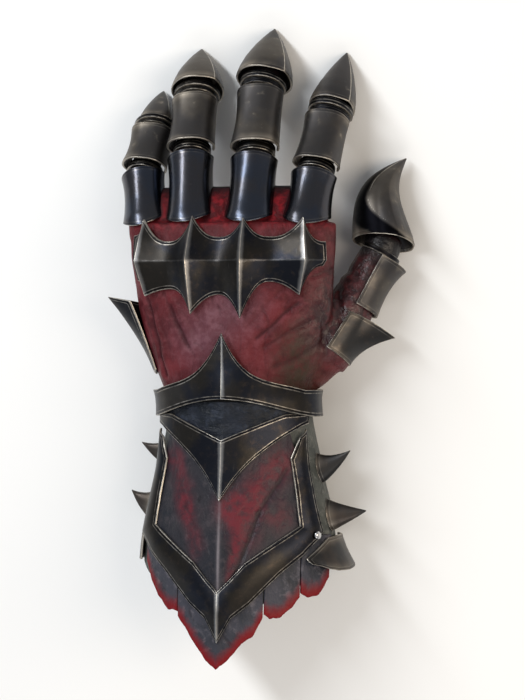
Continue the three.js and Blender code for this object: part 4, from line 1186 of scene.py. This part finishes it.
# Creases on the back of the hand: from, to, width, depth
HAND_FOLDS = [
    ((20, 196), (44, 216), 1.6, 1.0),
    ((24, 190), (52, 205), 1.5, 0.8),
    ((14, 204), (36, 226), 1.4, 0.5),
    ((30, 178), (56, 192), 1.8, 0.8),
    ((-40, 222), (-24, 190), 1.5, 0.7),
    ((-34, 214), (-20, 184), 1.4, 0.7),
    ((-46, 214), (-34, 182), 1.6, 0.5),
    ((-22, 206), (-14, 190), 1.5, 0.4),
    ((-54, 226), (-38, 172), 1.3, 1.1),
    ((54, 214), (58, 186), 1.5, 1.0),
    ((60, 222), (66, 196), 1.5, 0.9),
    ((50, 232), (64, 236), 1.6, 0.8),
]


# Plan lines and reach of the thumb's creased leather, of the rubbed patch with its painted sheen, and of the
# olive patch
THUMB_CREASES = ((62, 200), (78, 246), 26)
RUBBED_SHEEN_PATCH = ((-16, 196), (4, 214), 20)
OLIVE_PATCH = ((40, 168), (44, 190), 16)
VOXEL = 1.4


def soft_patch(plan, place, strength):
    """Strength of a soft patch round a plan line, from 0 to 1."""
    a, b, reach = place
    return np.clip(strength - from_segment(plan, a, b) / reach, 0, 1)


def build_glove():
    """The whole glove is one skin: hand, finger sleeves, webs and the swelling root of the thumb."""
    hand = [arm_point(TURN, y, 0) for y in np.linspace(WRIST - 6, KNUCKLES + LEATHER_WALL, 26)]
    root = [thumb.point(0, share, TURN, reach * thumb.half_width) for share, reach in THUMB_ROOT]
    parts = [capped(hand), capped(root), sleeve_part(thumb, 0.5)]
    row = list(fingers.values())
    parts += [sleeve_part(digit, -0.25) for digit in row]
    parts += [web_part(left, right) for left, right in zip(row, row[1:])]
    points, faces, normals = fuse(parts, VOXEL, 9)
    push, shade_mark = crease_lines(points, normals, HAND_FOLDS)
    hand_back = np.clip((KNUCKLES - 2 - points[:, 1]) / 14, 0, 1)
    wrinkled = 1 - np.abs(layered(points * [1, 0.4, 1], 14, 51)) * 1.6
    near_thumb = soft_patch(points[:, :2], THUMB_CREASES, 1)
    push += 0.45 * layered(points, 18, 61) + 0.25 * layered(points * [1, 0.55, 1], 8, 62)
    push = push * hand_back - 0.55 * np.clip(wrinkled - 0.55, 0, 1) * (0.4 + near_thumb)
    points = points + normals * np.minimum(push, 0.8)[:, None]
    keep = [face for face in faces if points[face, 1].min() > WRIST + GAP]
    used, index = np.unique(np.concatenate(keep), return_inverse=True)
    cuts = np.cumsum([len(face) for face in keep])[:-1]
    faces = [tuple(face) for face in np.split(index, cuts)]
    points, shade_mark, near_thumb = points[used], shade_mark[used], near_thumb[used]
    plan = points[:, :2]
    tip_joint = np.linalg.norm(points - thumb.joints[2], axis=1)
    sleeve_and_shade = np.clip((points[:, 1] - (KNUCKLES + 15)) / 9, 0, 1)
    # Painted shade beside each finger's root, between the plates.
    for digit in row:
        beside = from_segment(plan, digit.joints[0][:2], digit.joints[1][:2]) - digit.radius(0, 0)
        shadow = np.clip((3 - beside) / 3.5, 0, 1) * np.clip((points[:, 1] - KNUCKLES) / 9, 0, 1)
        sleeve_and_shade = np.maximum(sleeve_and_shade, shadow)
    attributes = {
        # fold: painted shade along the creases of the back.
        "fold": 0.7 * np.clip(shade_mark, 0, 1),
        "web": np.clip((points[:, 1] - (KNUCKLES - 4)) / 8, 0, 1),
        # sleeve: near black sleeves, with painted shade beside the fingers.
        "sleeve_and_shade": np.maximum(sleeve_and_shade, np.clip((17 - tip_joint) / 5, 0, 1)),
        "thumb": near_thumb,
        # rubbed: grey rubbed patch, partly a painted sheen.
        "rubbed_sheen": 0.85 * soft_patch(plan, RUBBED_SHEEN_PATCH, 1.25),
        "olive": soft_patch(plan, OLIVE_PATCH, 1.2),
    }
    nodes = ["glove_hand", "glove_thumb"] + [f"glove_{name}" for name in fingers]
    glove = make_object("glove", points, faces, glove_leather, nodes, attributes, sharp=80)
    wall = glove.modifiers.new("wall", "SOLIDIFY")
    wall.thickness = LEATHER_WALL * MM
    wall.offset = -1


def build_cuff():
    """Leather tube of the forearm, crumpled along its sides."""
    def crumples(points):
        return layered(points * [1, 0.45, 0.8], 15, 71)

    def place(angle, v, depth):
        rear = CUFF_REAR - 0.45 * SKIRT_LENGTH * np.maximum(0, np.cos(angle)) ** 2
        y = rear * (1 - v) + WRIST * v
        flat = arm_point(angle, y, 0)
        side = np.clip(np.abs(np.sin(angle)) * 1.4 - 0.5, 0, 1) * np.clip(flat[..., 2] / 20, 0, 1)
        return arm_point(angle, y, np.minimum(0.9 * crumples(flat) * side, 0.25) - depth)

    def paint(angle, v, points):
        # fold: painted shade in the hollows of the crumples.
        return {"fold": 0.7 * np.clip(-crumples(points) * 1.5 - 0.3, 0, 1)}

    angles = np.linspace(0, 2 * np.pi, 145)[:-1]
    shell("cuff", angles, 61, place, LEATHER_WALL, cuff_leather, "forearm_cuff",
          looped=True, warp=0, sharp=70, extra=paint, rim=0.8)


def glove_material():
    """Crimson leather: brighter at the webs, grey and olive where rubbed, the grey partly a painted sheen,
    dark and glossy round the thumb, near black on the sleeves, with painted shade beside the fingers and in
    the creases.
    """
    n = Nodes("glove_leather")
    broad, mottle = n.noise(22, 4, 0.6, distortion=0.5), n.noise(6, 5, 0.65)
    wrinkles = n.noise(8, 4, 0.55, n.stretched((1, 0.45, 1)), 0.8)
    base = n.mix(n.span(broad, 0.38, 0.62), (0.066, 0.01, 0.013), (0.115, 0.017, 0.021))
    base = n.mix(n.times(n.span(mottle, 0.45, 0.7), 0.5), base, (0.16, 0.04, 0.048))
    # Grey rubbed patch, partly a painted sheen.
    base = n.mix(n.times(n.attribute("rubbed_sheen"), n.span(broad, 0.3, 0.7, 0.45, 0.9)), base,
                 n.mix(n.span(mottle, 0.4, 0.65), (0.1, 0.042, 0.056), (0.15, 0.075, 0.095)))
    olive = n.times(n.attribute("olive"), n.span(mottle, 0.3, 0.6, 0.4, 1.0))
    base = n.mix(olive, base, (0.04, 0.025, 0.017))
    webs = n.mix(n.span(mottle, 0.4, 0.65), (0.06, 0.003, 0.005), (0.19, 0.007, 0.012))
    base = n.mix(n.attribute("web"), base, webs)
    dark = n.mix(n.span(mottle, 0.42, 0.62), (0.016, 0.006, 0.007), (0.06, 0.011, 0.013))
    base = n.mix(n.times(n.span(n.attribute("thumb"), 0.1, 0.7), 0.92), base, dark)
    # Near black on the sleeves, with painted shade beside the fingers.
    base = n.mix(n.attribute("sleeve_and_shade"), base, (0.006, 0.005, 0.006))
    # Painted shade in the wrinkles and the folds.
    deep = n.rest(n.span(wrinkles, 0.3, 0.43))
    fold_shade = n.span(n.attribute("fold"), 0.1, 1.0)
    base = n.mix(n.larger(n.times(deep, 0.35), fold_shade), base, (0.022, 0.003, 0.005))
    shine = n.line(n.attribute("thumb"), -0.18, n.line(mottle, 0.28, 0.34))
    height = n.line(n.cells(1.2), 0.35, n.times(n.noise(0.8, 3), 0.25))
    rolls = n.bump(n.line(mottle, 0.5, wrinkles), 2.2, 0.7)
    n.put(n.shader.inputs["Specular IOR Level"], n.line(n.attribute("thumb"), 0.4, 0.13))
    return n.finish(base, shine, 0.0, n.bump(height, 0.3, 0.45, rolls))


glove_leather = glove_material()


# Camera, light and floor

VIEW_TURN = math.radians(15)
VIEW_DISTANCE = 1800
PIXEL = 0.6
PICTURE = (525, 700)
SKIRT_TIP_PIXEL = (226, 663.5)
MIDDLE_PIVOT = 44
RIDGE_OFFSET = 8


def build_camera():
    across = (0.5 * PICTURE[0] - SKIRT_TIP_PIXEL[0]) * PIXEL
    along = (SKIRT_TIP_PIXEL[1] - 0.5 * PICTURE[1]) * PIXEL
    target = np.array([across / math.cos(VIEW_TURN) - RIDGE_OFFSET, along, MIDDLE_PIVOT]) * MM + SHIFT
    right = Vector((math.cos(VIEW_TURN), 0, -math.sin(VIEW_TURN)))
    back = Vector((math.sin(VIEW_TURN), 0, math.cos(VIEW_TURN)))
    data = bpy.data.cameras.new("camera")
    data.sensor_fit = "VERTICAL"
    data.sensor_height = 24
    data.lens = data.sensor_height * VIEW_DISTANCE / (PICTURE[1] * PIXEL)
    camera = bpy.data.objects.new("camera", data)
    camera.matrix_world = Matrix((right, Vector((0, 1, 0)), back)).transposed().to_4x4()
    camera.location = Vector(target) + back * VIEW_DISTANCE * MM
    bpy.context.scene.collection.objects.link(camera)
    bpy.context.scene.camera = camera
    return target


def build_light(name, target, where, size, power, color):
    data = bpy.data.lights.new(name, "AREA")
    data.shape = "RECTANGLE"
    data.size, data.size_y = size
    data.energy = power
    data.color = color
    light = bpy.data.objects.new(name, data)
    light.location = Vector(target) + Vector(where)
    light.rotation_euler = (-Vector(where)).to_track_quat("-Z", "Y").to_euler()
    bpy.context.scene.collection.objects.link(light)


# Name, place from the target and size in metres, power and colour
LIGHTS = [
    ("key", (-0.5, 0.55, 0.95), (0.16, 1.2), 11, (0.94, 0.97, 1.0)),
    ("warm", (0.9, 0.0, 0.8), (0.3, 1.0), 7, (1.0, 0.85, 0.68)),
    ("left", (-1.1, -0.3, 0.5), (0.2, 0.9), 1, (0.8, 0.88, 1.0)),
    ("low", (0.1, -0.9, 0.9), (0.9, 0.3), 4, (1.0, 0.97, 0.94)),
]
SKY_COLOR = (0.9, 0.92, 0.95, 1)
SKY_STRENGTH = 0.4
FLOOR_REACH = 4
FLOOR_DROP = 0.0004


def build_stage():
    target = build_camera()
    for name, where, size, power, color in LIGHTS:
        build_light(name, target, where, size, power, color)
    world = bpy.data.worlds.new("studio")
    world.use_nodes = True
    sky = world.node_tree.nodes["Background"]
    sky.inputs[0].default_value = SKY_COLOR
    sky.inputs[1].default_value = SKY_STRENGTH
    bpy.context.scene.world = world
    mesh = bpy.data.meshes.new("floor")
    corners = [(-1, -1), (1, -1), (1, 1), (-1, 1)]
    mesh.from_pydata([(x * FLOOR_REACH, y * FLOOR_REACH, 0) for x, y in corners], [], [(0, 1, 2, 3)])
    n = Nodes("floor")
    mesh.materials.append(n.finish((0.82, 0.82, 0.81, 1), n.span(n.noise(40, 3), 0.3, 0.7, 0.6, 0.7)))
    floor = bpy.data.objects.new("floor", mesh)
    floor.location.z = -FLOOR_DROP
    bpy.context.scene.collection.objects.link(floor)
    bpy.context.scene.view_settings.view_transform = "Standard"


build_stage()
build_glove()
build_cuff()
for finger_name, finger_digit in fingers.items():
    build_finger(finger_name, finger_digit)
build_thumb()
build_knuckles()
build_fin()
build_band()
build_chevron()
build_gusset()
build_frame()
build_panel()
for skirt_name, skirt_points in SKIRT_EDGES.items():
    build_skirt(skirt_name, skirt_points)
for thorn in THORNS:
    build_thorn(*thorn)
for flare_name, flare_sizes in FLARES.items():
    build_flare(flare_name, *flare_sizes)
build_rivet()
